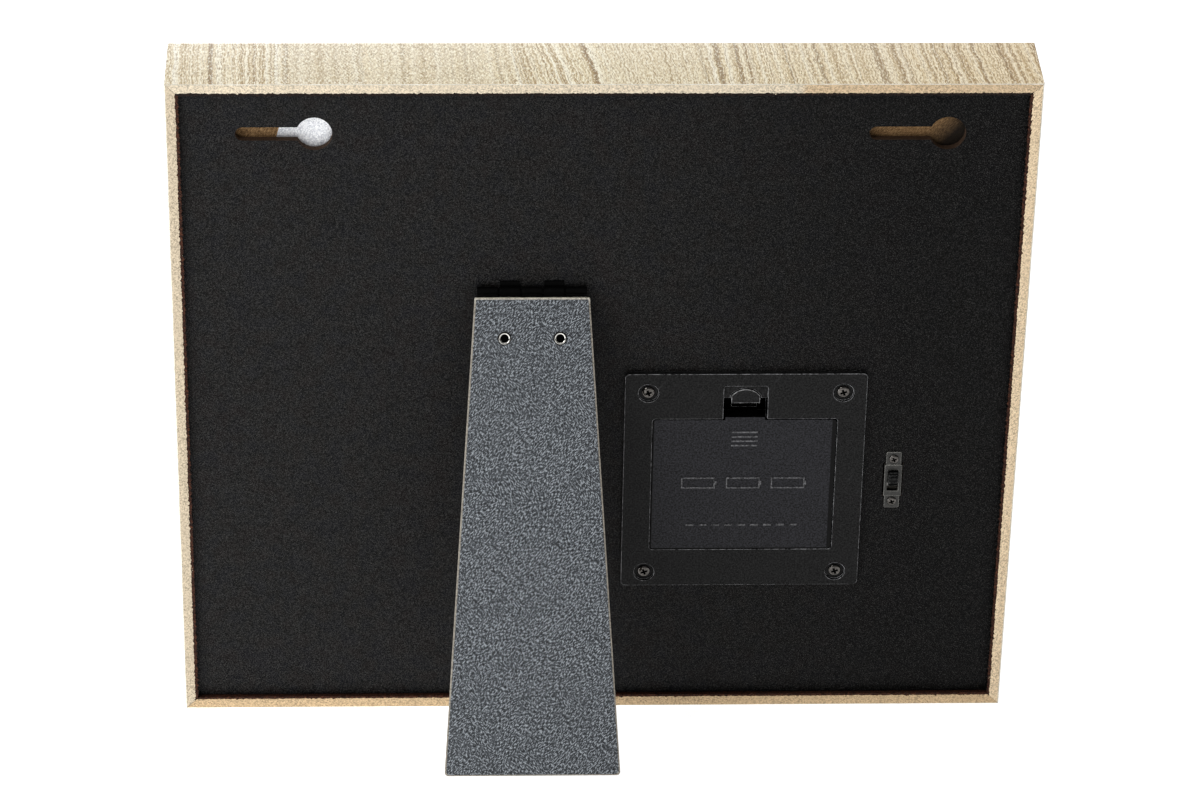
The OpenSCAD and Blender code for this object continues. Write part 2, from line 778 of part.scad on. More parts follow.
// Marks on the cover: grip bars, one outline for each cell, and a row of short bars
module cover_marks2d() {
    grip_w = 8.5;
    grip_line = 0.55;
    grip_step = 1.65;
    grip_top = seat_top - 4.9;
    mark_z = bay_z + 0.8;
    mark_w = 11;
    mark_h = 4.2;
    mark_step = 14.5;
    mark_line = 0.5;
    bar_z = bay_z - 15.3;
    bar_w = 2.6;
    bar_h = 0.6;
    bar_step = 4.2;
    bar_n = 9;
    for (i = [0 : 3]) block2d(case_x, grip_top - i * grip_step, grip_w, grip_line);
    for (i = [0 : cell_n - 1])
        cell_mark2d(case_x + (i - (cell_n - 1) / 2) * mark_step, mark_z, mark_w, mark_h, mark_line);
    for (i = [0 : bar_n - 1])
        block2d(case_x + (i - (bar_n - 1) / 2) * bar_step, bar_z, bar_w, bar_h);
}

module battery_cover() {
    cover_w = seat_w - 2 * cover_gap;
    cover_h = cover_top - cover_low;
    color("#303133") stand() {
        slab(cover_in_y, flange_y) union() {
            round2d(case_x, (cover_top + cover_low) / 2, cover_w, cover_h, cover_r);
            translate([case_x - tab_hw, cover_top - over]) square([2 * tab_hw, tab_rise + over]);
        }
        slab(flange_y, flange_y + relief_t) cover_marks2d();
        // Inner arm of the latch spring
        slab(loop_y + loop_t + cover_gap, cover_in_y)
            translate([case_x - loop_hw, tab_top - loop_t])
            square([2 * loop_hw, loop_t]);
        // Hooks that reach under the flange
        for (s = [-1, 1]) {
            x = case_x + s * hook_x;
            slab(hook_in_y, cover_in_y)
                translate([x - hook_hw, cover_low]) square([2 * hook_hw, seat_side - case_wall + 0.3]);
            slab(hook_in_y, hook_out_y)
                translate([x - hook_hw, cover_low - hook_reach])
                square([2 * hook_hw, hook_reach + seat_side - case_wall + 0.3]);
        }
    }
}

// Outer arm of the latch spring with its tongue, and the bottom of the loop
module battery_latch() {
    color("#37383b") stand() {
        slab(tongue_y - tongue_t, tongue_y) tongue2d(0);
        slab(loop_y, tongue_y - tongue_t)
            translate([case_x - loop_hw, tongue_z]) square([2 * loop_hw, loop_t]);
        slab(loop_y, loop_y + loop_t)
            translate([case_x - loop_hw, loop_low])
            square([2 * loop_hw, tongue_z + loop_t - loop_low]);
    }
}

// Height of cell i, and the end of the bay its button faces: +1 or -1 along X
function cell_z(i) = bay_z + (i - (cell_n - 1) / 2) * (cell_d + cell_gap);
function cell_dir(i) = i % 2 == 0 ? -1 : 1;
// Wires leave the case level with the lowest and the highest cell
wire_exit_zs = [cell_z(0), cell_z(cell_n - 1)];

// Cell i: the button end stands against the flat contact, the flat end on the spring
module battery(i) {
    dir = cell_dir(i);
    x = case_x + dir * (bay_l / 2 - contact_room - cell_l);
    body_l = cell_l - cell_nub_l;
    color("steelblue") stand()
        if (i < cell_n)
            translate([x, cell_y, cell_z(i)]) rotate([0, dir * 90, 0]) {
                cylinder(h = body_l, r = cell_d / 2);
                cylinder(h = cell_l, r = cell_nub_r);
            }
}

// Ring of points round a path point, in the plane across the path
function ring_at(p, t, r) =
    let (side = norm(cross(t, [0, 0, 1])) > 0.5 ? [0, 0, 1] : [0, 1, 0])
    let (u = cross(t, side) / norm(cross(t, side)))
    let (v = cross(t, u))
    [for (k = [0 : wire_sides - 1])
        p + r * (cos(k * 360 / wire_sides) * u + sin(k * 360 / wire_sides) * v)];
// Direction of the path at point i
function path_dir(path, i) =
    let (a = path[max(i - 1, 0)], b = path[min(i + 1, len(path) - 1)])
    (b - a) / norm(b - a);

// Round wire along a list of points
module wire(path, r) {
    n = len(path);
    points = [for (i = [0 : n - 1]) each ring_at(path[i], path_dir(path, i), r)];
    sides = [
        for (i = [0 : n - 2], k = [0 : wire_sides - 1])
            let (a = i * wire_sides + k, b = i * wire_sides + (k + 1) % wire_sides)
            [a, b, b + wire_sides, a + wire_sides]
    ];
    start = [for (k = [0 : wire_sides - 1]) wire_sides - 1 - k];
    end = [for (k = [0 : wire_sides - 1]) (n - 1) * wire_sides + k];
    polyhedron(points = points, faces = concat([start], sides, [end]), convexity = 10);
}

// Conical contact springs, one at the flat end of each cell
module contact_springs() {
    spring_wire_r = 0.35;
    spring_turns = 3.5;
    turn_steps = 14;
    wide_r = 4.6;
    narrow_r = 2.4;
    run = spring_room - 2 * spring_wire_r - 0.5;
    steps = spring_turns * turn_steps;
    color("silver") stand() for (i = [0 : cell_n - 1]) {
        dir = cell_dir(i);
        x0 = case_x - dir * (bay_l / 2 - spring_wire_r - 0.4);
        path = [
            for (k = [0 : steps])
                let (f = k / steps, a = k * 360 / turn_steps, rr = wide_r + f * (narrow_r - wide_r))
                [x0 + dir * f * run, cell_y + rr * cos(a), cell_z(i) + rr * sin(a)]
        ];
        wire(path, spring_wire_r);
    }
}

// Plated contact discs that the cells' buttons press on
module contact_buttons() {
    disc_r = 5;
    disc_t = 0.4;
    color("silver") stand() for (i = [0 : cell_n - 1]) {
        dir = cell_dir(i);
        x = case_x + dir * (bay_l / 2 - disc_t);
        translate([x, cell_y, cell_z(i)]) rotate([0, dir * 90, 0]) cylinder(h = disc_t, r = disc_r);
    }
}

// Pan-head screw with a cross recess: its head sits at depth y, its shank points inwards
module cross_screw(x, z, y, shank_r, head_r, shank_l) {
    head_t = head_r * 0.45;
    cross_w = head_r * 0.3;
    cross_l = head_r * 1.3;
    cross_t = head_t * 0.6;
    difference() {
        union() {
            slab(y - shank_l, y + head_t) disc2d(x, z, shank_r);
            slab(y, y + head_t) disc2d(x, z, head_r);
        }
        slab(y + head_t - cross_t, y + head_t + over) {
            block2d(x, z, cross_l, cross_w);
            block2d(x, z, cross_w, cross_l);
        }
    }
}

module case_screws() {
    color("darkgray") stand()
        for (sx = [-1, 1], z = case_screw_zs)
            cross_screw(case_x + sx * case_screw_x, z, case_head_y, case_screw_r, case_head_r,
                case_screw_l);
}

module switch_screws() {
    color("darkgray") stand()
        for (sz = [-1, 1])
            cross_screw(switch_x, switch_z + sz * switch_pitch / 2, panel_y + bracket_t,
                switch_screw_r, switch_head_r, switch_screw_l);
}

// Steel bracket: two ears, and a can whose slotted top stands a little proud
module switch_bracket() {
    color("#3a3a3c") stand() difference() {
        union() {
            slab(panel_y, panel_y + bracket_t)
                round2d(switch_x, switch_z, bracket_w, bracket_l, bracket_t);
            slab(panel_y - can_d, can_y) block2d(switch_x, switch_z, can_w, can_l);
        }
        slab(panel_y - can_d - over, can_in_y)
            block2d(switch_x, switch_z, can_w - 2 * bracket_t, can_l - 2 * bracket_t);
        slab(can_in_y - over, can_y + over) block2d(switch_x, switch_z, slot_w, slot_l);
        slab(panel_y - over, panel_y + over)
            for (sz = [-1, 1])
                disc2d(switch_x, switch_z + sz * switch_pitch / 2, switch_screw_r + screw_fit);
    }
}

// Insulating base in the open end of the can
module switch_base() {
    fit = 0.1;
    color("#5b3a1e") stand() difference() {
        slab(base_in_y, base_out_y)
            block2d(switch_x, switch_z, can_w - 2 * (bracket_t + fit), can_l - 2 * (bracket_t + fit));
        slab(base_in_y - over, base_out_y + over) terminals2d(fit);
    }
}

module terminals2d(d) {
    terminal_w = 1.6;
    terminal_h = 0.6;
    for (i = [-1 : 1])
        block2d(switch_x, switch_z + i * terminal_pitch, terminal_w + 2 * d, terminal_h + 2 * d);
}

module switch_terminals() {
    terminal_l = 3;
    color("silver") stand() slab(base_in_y - terminal_l, base_out_y + 0.3) terminals2d(0);
}

// Sliding knob: a wide slider inside the can and a ribbed grip through its slot
module switch_knob() {
    grip_w = slot_w - 2 * knob_gap;
    rib_n = 4;
    rib_step = knob_l / rib_n;
    groove = 0.4;
    knob_z = knob_top - knob_l / 2;
    slider_y = can_in_y - knob_gap;
    color("#151515") stand() difference() {
        union() {
            slab(slider_y - slider_t, slider_y) block2d(switch_x, knob_z, slider_w, slider_l);
            slab(slider_y - slider_t, can_y + knob_h) block2d(switch_x, knob_z, grip_w, knob_l);
        }
        for (i = [1 : rib_n - 1])
            slab(can_y + knob_h - groove, can_y + knob_h + over)
                block2d(switch_x, knob_top - i * rib_step, grip_w + over, groove);
    }
}

// Wires, as points on the light board's front face: [x, z]
function on_board(pts) = [for (p = pts) [p[0], wire_y, p[1]]];
case_side_x = case_x - bay_l / 2;
terminal_y = base_in_y - 2;
pad_gap = 0.2;

module wire_case_to_switch() {
    top = switch_z + terminal_pitch;
    exit_z = wire_exit_zs[1];
    color("red") stand() wire(
        on_board([
            [case_side_x, exit_z], [case_side_x - 6, exit_z],
            [case_side_x - 9, exit_z - 1.5], [switch_x + 7, top + 1], [switch_x + 1.6, top],
        ]), wire_r);
}

module wire_case_to_strip() {
    exit_z = wire_exit_zs[0];
    x = case_side_x - 12;
    pad_z = strip_lower_z + strip_w / 2 + pad_gap;
    color("#202020") stand() wire(
        on_board([
            [case_side_x, exit_z], [case_side_x - 6, exit_z], [case_side_x - 9, exit_z - 1.5],
            [case_side_x - 10, exit_z - 5], [x, pad_z + 8], [x, pad_z],
        ]), wire_r);
}

resistor_z = switch_z + 36;
resistor_l = 6.5;

// The run from the switch to the upper strip, broken by the series resistor
module wire_switch_to_strip() {
    x = switch_x - 5;
    low = resistor_z - resistor_l / 2;
    high = resistor_z + resistor_l / 2;
    pad_z = strip_upper_z - strip_w / 2 - pad_gap;
    color("red") stand() {
        wire(on_board([
            [switch_x - 1.6, switch_z], [x + 1.5, switch_z + 0.4], [x, switch_z + 2],
            [x, switch_z + 12], [x, low],
        ]), wire_r);
        wire(on_board([
            [x, high], [x, high + 6], [x, pad_z - 8], [x, pad_z],
        ]), wire_r);
    }
}

module series_resistor() {
    body_r = 1.1;
    color("burlywood") stand()
        translate([switch_x - 5, wire_y - body_r + wire_r, resistor_z - resistor_l / 2])
        cylinder(h = resistor_l, r = body_r);
}

// The two wires that feed the lower strip from the upper one, down the +X side
module wire_links() {
    color("white") stand() for (s = [0, 1]) {
        x = strip_l / 2 + 4 + s * 2.5;
        dz = s == 0 ? -1.5 : 1.5;
        wire(on_board([
            [strip_l / 2 + 0.8, strip_upper_z + dz], [x - 1.5, strip_upper_z + dz - 0.4],
            [x, strip_upper_z + dz - 2], [x, strip_upper_z - 20], [x, strip_lower_z + 20],
            [x, strip_lower_z - dz + 2], [x - 1.5, strip_lower_z - dz + 0.4],
            [strip_l / 2 + 0.8, strip_lower_z - dz],
        ]), wire_r);
    }
}

rail_top();
rail_bottom();
rail_left();
rail_right();
back_panel();
front_pane();
picture_film();
diffuser_sheet();
light_board();
spacer_top();
spacer_bottom();
spacer_left();
spacer_right();
led_strip(strip_upper_z);  // led_strip_upper
led_strip(strip_lower_z);  // led_strip_lower
leds(strip_upper_z);  // leds_upper
leds(strip_lower_z);  // leds_lower
foil_patch();
leg_core();
leg_facing();
leg_eyelets();
hinge_moving_leaf();
hinge_fixed_leaf();
hinge_pin();
panel_rivets();
battery_case();
battery_cover();
battery_latch();
battery(0);  // battery_1
battery(1);  // battery_2
battery(2);  // battery_3
contact_springs();
contact_buttons();
case_screws();
switch_bracket();
switch_base();
switch_knob();
switch_terminals();
switch_screws();
wire_case_to_switch();
wire_switch_to_strip();
wire_case_to_strip();
wire_links();
series_resistor();
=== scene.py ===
# Battery-lit box picture frame: the looks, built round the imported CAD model.
import json
import math
import random

import bmesh
import bpy
from mathutils import Matrix, Quaternion, Vector, noise


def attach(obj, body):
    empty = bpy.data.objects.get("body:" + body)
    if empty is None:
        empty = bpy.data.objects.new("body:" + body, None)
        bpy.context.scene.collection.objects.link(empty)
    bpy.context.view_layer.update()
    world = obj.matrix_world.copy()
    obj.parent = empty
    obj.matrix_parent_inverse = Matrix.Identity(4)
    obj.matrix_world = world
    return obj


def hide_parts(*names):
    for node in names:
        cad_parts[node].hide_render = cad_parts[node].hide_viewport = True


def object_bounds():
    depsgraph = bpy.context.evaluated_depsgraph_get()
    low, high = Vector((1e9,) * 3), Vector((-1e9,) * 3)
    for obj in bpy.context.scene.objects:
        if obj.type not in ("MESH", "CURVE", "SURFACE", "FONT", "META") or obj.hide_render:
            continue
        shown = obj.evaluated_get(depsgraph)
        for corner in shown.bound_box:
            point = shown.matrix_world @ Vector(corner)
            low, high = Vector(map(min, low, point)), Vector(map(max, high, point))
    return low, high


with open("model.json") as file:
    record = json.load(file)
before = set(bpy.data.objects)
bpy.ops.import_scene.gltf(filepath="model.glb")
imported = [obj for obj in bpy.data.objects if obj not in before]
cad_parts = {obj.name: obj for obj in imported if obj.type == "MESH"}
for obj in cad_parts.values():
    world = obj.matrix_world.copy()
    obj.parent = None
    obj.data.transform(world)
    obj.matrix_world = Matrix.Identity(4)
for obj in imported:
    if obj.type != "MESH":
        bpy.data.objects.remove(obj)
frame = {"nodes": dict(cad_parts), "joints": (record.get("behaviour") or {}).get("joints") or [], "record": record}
cad_low, cad_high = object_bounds()
NODES = frame["nodes"]
JOINTS = {j["name"]: j for j in frame["joints"]}
MM = 0.001

# ---------------------------------------------------------------- spaces
# PANEL: the upright, square frame as it was designed: x across, y out of the back, z up, with
# the lower rear edge on y = 0, z = 0. LEG: the same for the leg, as if it were folded flat.

keyhole = next(m for m in frame["record"]["mounts"] if m["name"] == "keyhole_left_head")
LEAN = math.atan2(-keyhole["axis"][2], keyhole["axis"][1])


def span(pts):
    """Lowest and highest corner of some points."""
    return (Vector([min(p[i] for p in pts) for i in range(3)]),
            Vector([max(p[i] for p in pts) for i in range(3)]))


def corners(node, space):
    """Lowest and highest corner of a CAD node, in a space."""
    back = space.inverted()
    return span([back @ v.co for v in NODES[node].data.vertices])


TILTED = Matrix.Rotation(-LEAN, 4, "X")
edge_low, edge_high = corners("rail_bottom", TILTED)
PANEL = Matrix.Translation(TILTED @ Vector((0, edge_high.y, edge_low.z))) @ TILTED
PIN = PANEL.inverted() @ Vector(JOINTS["leg_hinge"]["pos_m"])
OPEN = math.radians(JOINTS["leg_hinge"]["range_deg"][1])
LEG = (PANEL @ Matrix.Translation((0, PIN.y, PIN.z)) @ Matrix.Rotation(OPEN, 4, "X")
       @ Matrix.Translation((0, -PIN.y, -PIN.z)))

# ---------------------------------------------------------------- camera
VIEW_AZIMUTH, VIEW_ELEVATION, VIEW_ROLL = 177.70, 15.36, 0.408
VIEW_DISTANCE, VIEW_LENS = 1.485, 138.61
VIEW_OFFSET = Vector((-0.0006, 0, -0.0043))


def make_camera():
    a, e = math.radians(VIEW_AZIMUTH), math.radians(VIEW_ELEVATION)
    back = Vector((math.sin(a) * math.cos(e), -math.cos(a) * math.cos(e), math.sin(e)))
    data = bpy.data.cameras.new("camera")
    data.lens, data.sensor_width = VIEW_LENS, 36
    data.clip_start, data.clip_end = 0.01, 50
    cam = bpy.data.objects.new("camera", data)
    cam.location = (cad_low + cad_high) / 2 + VIEW_OFFSET + back * VIEW_DISTANCE
    cam.rotation_mode = "QUATERNION"
    cam.rotation_quaternion = (-back).to_track_quat("-Z", "Y") @ Quaternion(
        (0, 0, 1), math.radians(VIEW_ROLL))
    bpy.context.scene.collection.objects.link(cam)
    bpy.context.scene.camera = cam


make_camera()

# ---------------------------------------------------------------- materials


def tone(r, g, b):
    """A linear colour from the usual 0 to 255 values."""
    return tuple(((c / 255 + 0.055) / 1.055) ** 2.4 if c > 10 else c / 255 / 12.92
                 for c in (r, g, b)) + (1.0,)


def grey(level):
    return tone(level, level, level)


class Look:
    """A node material on the Principled shader, with short names for its nodes."""

    def __init__(self, name, **sockets):
        self.mat = bpy.data.materials.new(name)
        self.mat.use_nodes = True
        self.tree = self.mat.node_tree
        self.shader = self.tree.nodes["Principled BSDF"]
        for key, value in sockets.items():
            self.shader.inputs[key.replace("_", " ")].default_value = value

    def node(self, kind, inputs=(), **props):
        n = self.tree.nodes.new("ShaderNode" + kind)
        for key, value in props.items():
            setattr(n, key, value)
        for key, value in dict(inputs).items():
            if isinstance(value, bpy.types.NodeSocket):
                self.tree.links.new(value, n.inputs[key])
            else:
                n.inputs[key].default_value = value
        return n

    def place(self, stretch=(1, 1, 1), turn=(0, 0, 0), move=(0, 0, 0)):
        """The object's own coordinates in millimetres, turned, then stretched."""
        at = self.node("TexCoord").outputs["Object"]
        at = self.node("Mapping", {"Vector": at, "Rotation": turn, "Scale": (1000,) * 3})
        return self.node("Mapping", {"Vector": at.outputs[0], "Scale": stretch,
                                     "Location": move}).outputs[0]

    def noise(self, at, scale, detail=3.0, rough=0.5, warp=0.0):
        return self.node("TexNoise", {"Vector": at, "Scale": scale, "Detail": detail,
                                      "Roughness": rough, "Distortion": warp}).outputs[0]

    def cells(self, at, scale):
        return self.node("TexVoronoi", {"Vector": at, "Scale": scale}).outputs["Distance"]

    def grain(self, run, scale, detail, rough):
        """Noise along one line, for stripes across that line."""
        return self.node("TexNoise", {"W": run, "Scale": scale, "Detail": detail,
                                      "Roughness": rough}, noise_dimensions="1D").outputs[0]

    def ramp(self, fac, *stops):
        n = self.node("ValToRGB", {"Fac": fac})
        ramp = n.color_ramp
        while len(ramp.elements) < len(stops):
            ramp.elements.new(0.5)
        for el, (pos, colour) in zip(ramp.elements, stops):
            el.position = pos
            el.color = colour if isinstance(colour, tuple) else (colour,) * 3 + (1,)
        return n.outputs[0]

    def mix(self, fac, a, b, blend="MIX"):
        n = self.node("Mix", data_type="RGBA", blend_type=blend)
        for socket, value in zip((n.inputs[0], n.inputs[6], n.inputs[7]), (fac, a, b)):
            if isinstance(value, bpy.types.NodeSocket):
                self.tree.links.new(value, socket)
            else:
                socket.default_value = value
        return n.outputs[2]

    def over(self, base, fac, first, last, value):
        """The base with a colour over it, as strong as a ramp of two stops says."""
        return self.mix(self.ramp(fac, first, last), base, value)

    def math(self, op, a, b=0.0, c=0.0):
        return self.node("Math", {0: a, 1: b, 2: c}, operation=op).outputs[0]

    def part(self, at, axis):
        return self.node("SeparateXYZ", {"Vector": at}).outputs[axis]

    def colour(self, value):
        self.tree.links.new(value, self.shader.inputs["Base Color"])

    def rough(self, fac, low, high):
        n = self.node("MapRange", {"Value": fac, "To Min": low, "To Max": high})
        self.tree.links.new(n.outputs[0], self.shader.inputs["Roughness"])

    def bump(self, *layers):
        """Layers of (height, distance in metres, strength), the coarsest first."""
        last = None
        for height, distance, strength in layers:
            n = self.node("Bump", {"Height": height, "Distance": distance, "Strength": strength})
            if last:
                self.tree.links.new(last, n.inputs["Normal"])
            last = n.outputs[0]
        self.tree.links.new(last, self.shader.inputs["Normal"])


RAIL_LENGTH = 270  # of the long rails, in millimetres


def oak_wrap():
    """Pale wood-grain wrap. The grain runs across the rail, from back to front, and the rail's
    length passes from striped through zigzag and streaky to plain and finely slanting grain."""
    m = Look("oak_wrap", Specular_IOR_Level=0.3)
    at = m.place()
    x, y, z = (m.part(at, k) for k in range(3))
    along = m.math("MULTIPLY_ADD", x, 1 / RAIL_LENGTH, 0.5)
    slant = m.ramp(along, (0.0, 0.03), (0.36, 0.04), (0.43, 0.17), (0.51, 0.15), (0.64, 0.06),
                   (0.76, 0.09), (1.0, 0.12))
    swing = m.ramp(along, (0.1, 0.1), (0.15, 0.9), (0.37, 0.9), (0.42, 0.1))
    zigzag = m.math("MULTIPLY", m.math("PINGPONG", y, 1.0), swing)
    wander = m.noise(m.place((0.035, 0.16, 0.16)), 1.0, 3.0, 0.6)
    run = m.math("SUBTRACT", x, m.math("MULTIPLY", y, slant))
    run = m.math("ADD", run, zigzag)
    run = m.math("MULTIPLY_ADD", wander, 2.6, run)
    run = m.math("MULTIPLY_ADD", z, 0.12, run)
    lines = m.grain(run, 0.38, 4.0, 0.7)
    hairs = m.grain(run, 1.5, 2.0, 0.7)
    bands = m.grain(run, 0.05, 2.0, 0.5)
    force = m.ramp(along, (0.0, 0.9), (0.11, 0.9), (0.15, 0.34), (0.38, 0.34), (0.41, 1.0),
                   (0.49, 1.0), (0.515, 0.08), (0.60, 0.10), (0.63, 0.85), (0.69, 0.8),
                   (0.73, 0.65), (1.0, 0.85))
    plain_tone = m.ramp(bands, (0.35, tone(224, 210, 182)), (0.65, tone(236, 225, 201)))
    streak = m.ramp(lines, (0.36, tone(126, 100, 68)), (0.43, tone(184, 160, 122)),
                    (0.49, tone(230, 215, 184)), (0.56, tone(248, 241, 222)),
                    (0.68, tone(255, 253, 246)))
    base = m.mix(force, plain_tone, streak)
    base = m.over(base, hairs, (0.32, 0.7), (0.44, 0.0), tone(166, 144, 110))
    base = m.over(base, hairs, (0.56, 0.0), (0.68, 0.6), tone(253, 249, 238))
    drawn = {"X": m.math("MULTIPLY", run, 2.3), "Y": m.math("MULTIPLY", y, 0.22),
             "Z": m.math("MULTIPLY", z, 0.22)}
    pores = m.noise(m.node("CombineXYZ", drawn).outputs[0], 1.0, 3.0, 0.75)
    base = m.over(base, pores, (0.37, 0.85), (0.46, 0.0), tone(146, 120, 86))
    flecks = m.noise(m.place((1.9, 0.62, 0.62), move=(40, 0, 0)), 1.0, 2.0, 0.7)
    base = m.over(base, flecks, (0.52, 0.0), (0.62, 0.8), tone(255, 252, 240))
    base = m.over(base, flecks, (0.38, 0.55), (0.48, 0.0), tone(170, 147, 112))
    cast = m.ramp(along, (0.0, tone(255, 254, 250)), (0.5, tone(255, 253, 244)),
                  (0.75, tone(255, 250, 238)), (1.0, tone(254, 244, 226)))
    m.colour(m.mix(1.0, base, cast, "MULTIPLY"))
    m.rough(pores, 0.66, 0.46)
    m.bump((lines, 0.0002, 0.3), (pores, 0.0002, 0.6), (flecks, 0.0001, 0.5))
    return m.mat


def raw_board(name, mid, change=None, axis=0, start=60):
    """Bare fibreboard: short fibres lying every way, with a few dark and light flecks. With a
    change, the board past start millimetres along the axis is of another shade."""
    m = Look(name, Specular_IOR_Level=0.2)
    dark, light, fleck = (tuple(min(1.0, c * k) for c in mid[:3]) + (1.0,)
                          for k in (0.5, 1.28, 1.5))
    fibres = m.noise(m.place((1.4, 2.0, 2.0), turn=(0, 0.4, 0.6)), 1.0, 3.0, 0.65, 0.5)
    crossed = m.noise(m.place((2.4, 1.2, 0.9), turn=(0.3, 0.9, 0)), 1.0, 3.0, 0.7, 0.5)
    broad = m.noise(m.place((0.05, 0.05, 0.05)), 1.0, 2.0)
    base = m.ramp(fibres, (0.38, dark), (0.5, mid), (0.62, light))
    base = m.over(base, broad, (0.35, 0.0), (0.7, 0.4), mid)
    base = m.over(base, crossed, (0.58, 0.0), (0.72, 0.8), fleck)
    base = m.over(base, crossed, (0.28, 0.6), (0.40, 0.0), dark)
    if change:
        shade = tuple(b / a for a, b in zip(mid[:3], change[:3])) + (1.0,)
        step = m.math("MULTIPLY_ADD", m.part(m.place(), axis), 0.5, -0.5 * start)
        past = m.ramp(step, (0.0, 0.0), (1.0, 1.0))
        base = m.mix(past, base, m.mix(1.0, base, shade, "MULTIPLY"))
    m.colour(base)
    m.rough(fibres, 0.95, 0.75)
    m.bump((fibres, 0.0003, 0.6), (crossed, 0.0002, 0.5))
    return m.mat


def coated_board():
    """Black coated hardboard with a speckled tooth, painted darker towards the -X side with painted shade, where
    less light falls.
    """
    m = Look("coated_board", Specular_IOR_Level=0.056)
    tooth = m.noise(m.place(), 1.9, 3.0, 0.75)
    grit = m.noise(m.place(move=(30, 0, 9)), 3.3, 2.0, 0.7)
    drawn = m.noise(m.place((0.25, 1.0, 0.05), turn=(0, 0.18, 0)), 3.0, 3.0, 0.6)
    broad = m.noise(m.place((0.02, 0.02, 0.02)), 1.0, 3.0)
    tint = m.noise(m.place((0.2, 0.2, 0.2)), 1.0, 2.0)
    dust = m.cells(m.place(), 0.16)
    base = m.ramp(tooth, (0.36, grey(3)), (0.5, grey(18)), (0.64, tone(52, 51, 50)))
    base = m.over(base, tint, (0.35, 0.25), (0.5, 0.0), tone(30, 20, 18))
    base = m.over(base, tint, (0.5, 0.0), (0.65, 0.25), tone(18, 20, 30))
    # Painted shade: the colour is multiplied darker towards -X.
    shade_fall_over = 250  # millimetres across the board
    side = m.math("MULTIPLY_ADD", m.part(m.place(), 0), 1 / shade_fall_over, 0.5)
    painted_shade_fall = m.ramp(side, (0.1, 0.15), (0.45, 0.66), (1.0, 0.8))
    base = m.mix(1.0, base, painted_shade_fall, "MULTIPLY")
    base = m.over(base, grit, (0.54, 0.0), (0.66, 0.7), tone(66, 65, 64))
    base = m.over(base, grit, (0.34, 0.7), (0.46, 0.0), grey(1))
    m.colour(m.over(base, dust, (0.0, 0.9), (0.035, 0.0), tone(88, 87, 86)))
    m.rough(m.mix(0.5, tooth, broad), 0.34, 0.56)
    m.bump((drawn, 0.0001, 0.25), (tooth, 0.00012, 0.5))
    return m.mat


def leatherette():
    """Blue-grey embossed paper: fine slanting wrinkles that cross like a twill."""
    m = Look("leatherette", Specular_IOR_Level=0.22)
    one = m.noise(m.place((1.0, 1.0, 0.42), turn=(0, 0.72, 0)), 2.8, 1.0, 0.5, 0.15)
    two = m.noise(m.place((1.0, 1.0, 0.42), turn=(0, -0.60, 0), move=(9, 0, 4)), 2.8, 1.0, 0.5,
                  0.15)
    where = m.noise(m.place(), 0.09, 2.0)
    grain = m.mix(m.ramp(where, (0.53, 0.0), (0.64, 1.0)), one, two)
    fine = m.noise(m.place(), 4.2, 2.0, 0.6)
    broad = m.noise(m.place((0.018, 0.018, 0.018)), 1.0, 2.0)
    # Painted shade and highlight: the wrinkles' low grain is painted near black and their high grain pale, over
    # the bumps.
    base = m.ramp(grain, (0.37, tone(14, 17, 20)), (0.46, tone(50, 53, 57)),
                  (0.53, tone(78, 82, 87)), (0.61, tone(164, 170, 176)))
    base = m.over(base, fine, (0.36, 0.5), (0.47, 0.0), tone(26, 30, 34))
    base = m.over(base, fine, (0.54, 0.0), (0.66, 0.35), tone(160, 166, 172))
    m.colour(m.over(base, broad, (0.3, 0.0), (0.75, 0.15), tone(98, 100, 102)))
    m.rough(grain, 0.7, 0.5)
    m.bump((grain, 0.0007, 0.9), (fine, 0.0002, 0.6))
    return m.mat


def moulded(name, low, high, coarse=4.5, spec=0.2, shadow_line=None):
    """Moulded plastic with a spark-eroded texture, faint flow marks and rubbed high spots. The last argument
    (middle, half width and foot in millimetres) draws a thin line of painted shadow inside three sides, where a
    lid's gap lies in shade."""
    m = Look(name, Specular_IOR_Level=spec)
    spark = m.noise(m.place(), coarse, 3.0, 0.6)
    flow = m.noise(m.place((0.03, 0.05, 0.11), turn=(0, 0.3, 0)), 1.0, 3.0, 0.5, 1.2)
    scuffs = m.noise(m.place((0.9, 0.9, 0.07), turn=(0, 0.6, 0)), 1.0, 3.0, 0.6)
    base = m.ramp(spark, (0.38, low), (0.64, high))
    base = m.over(base, flow, (0.4, 0.0), (0.7, 0.15), high)
    base = m.over(base, scuffs, (0.66, 0.0), (0.8, 0.35), tone(74, 74, 76))
    if shadow_line:
        middle, half, foot = shadow_line
        across = m.math("ABSOLUTE", m.math("SUBTRACT", m.part(m.place(), 0), middle))
        inside = m.math("MINIMUM", m.math("SUBTRACT", half, across),
                        m.math("SUBTRACT", m.part(m.place(), 2), foot))
        base = m.over(base, inside, (0.26, 1.0), (0.42, 0.0), grey(1))
    m.colour(base)
    m.rough(m.mix(0.6, flow, spark), 0.36, 0.54)
    m.bump((flow, 0.0002, 0.12), (spark, 0.00006, 0.4))
    return m.mat


def metal(name, dark, light, rough=(0.22, 0.42), drawn=(1, 1, 1), metallic=1.0, spec=0.5,
          depth=0.00003):
    """Sheet or turned metal, with a drawn direction, clouding and small marks."""
    m = Look(name, Metallic=metallic, Specular_IOR_Level=spec)
    streak = m.noise(m.place(drawn), 2.4, 4.0, 0.65)
    cloud = m.noise(m.place(), 0.45, 3.0, 0.6)
    marks = m.noise(m.place((2.0, 0.4, 0.4), turn=(0.5, 0.2, 0.9)), 1.0, 3.0, 0.6)
    base = m.ramp(streak, (0.3, dark), (0.7, light))
    base = m.over(base, cloud, (0.35, 0.0), (0.7, 0.5), dark)
    m.colour(m.over(base, marks, (0.66, 0.0), (0.78, 0.5), light))
    m.rough(m.mix(0.5, cloud, streak), *rough)
    m.bump((streak, depth, 0.3), (marks, depth, 0.3))
    return m.mat


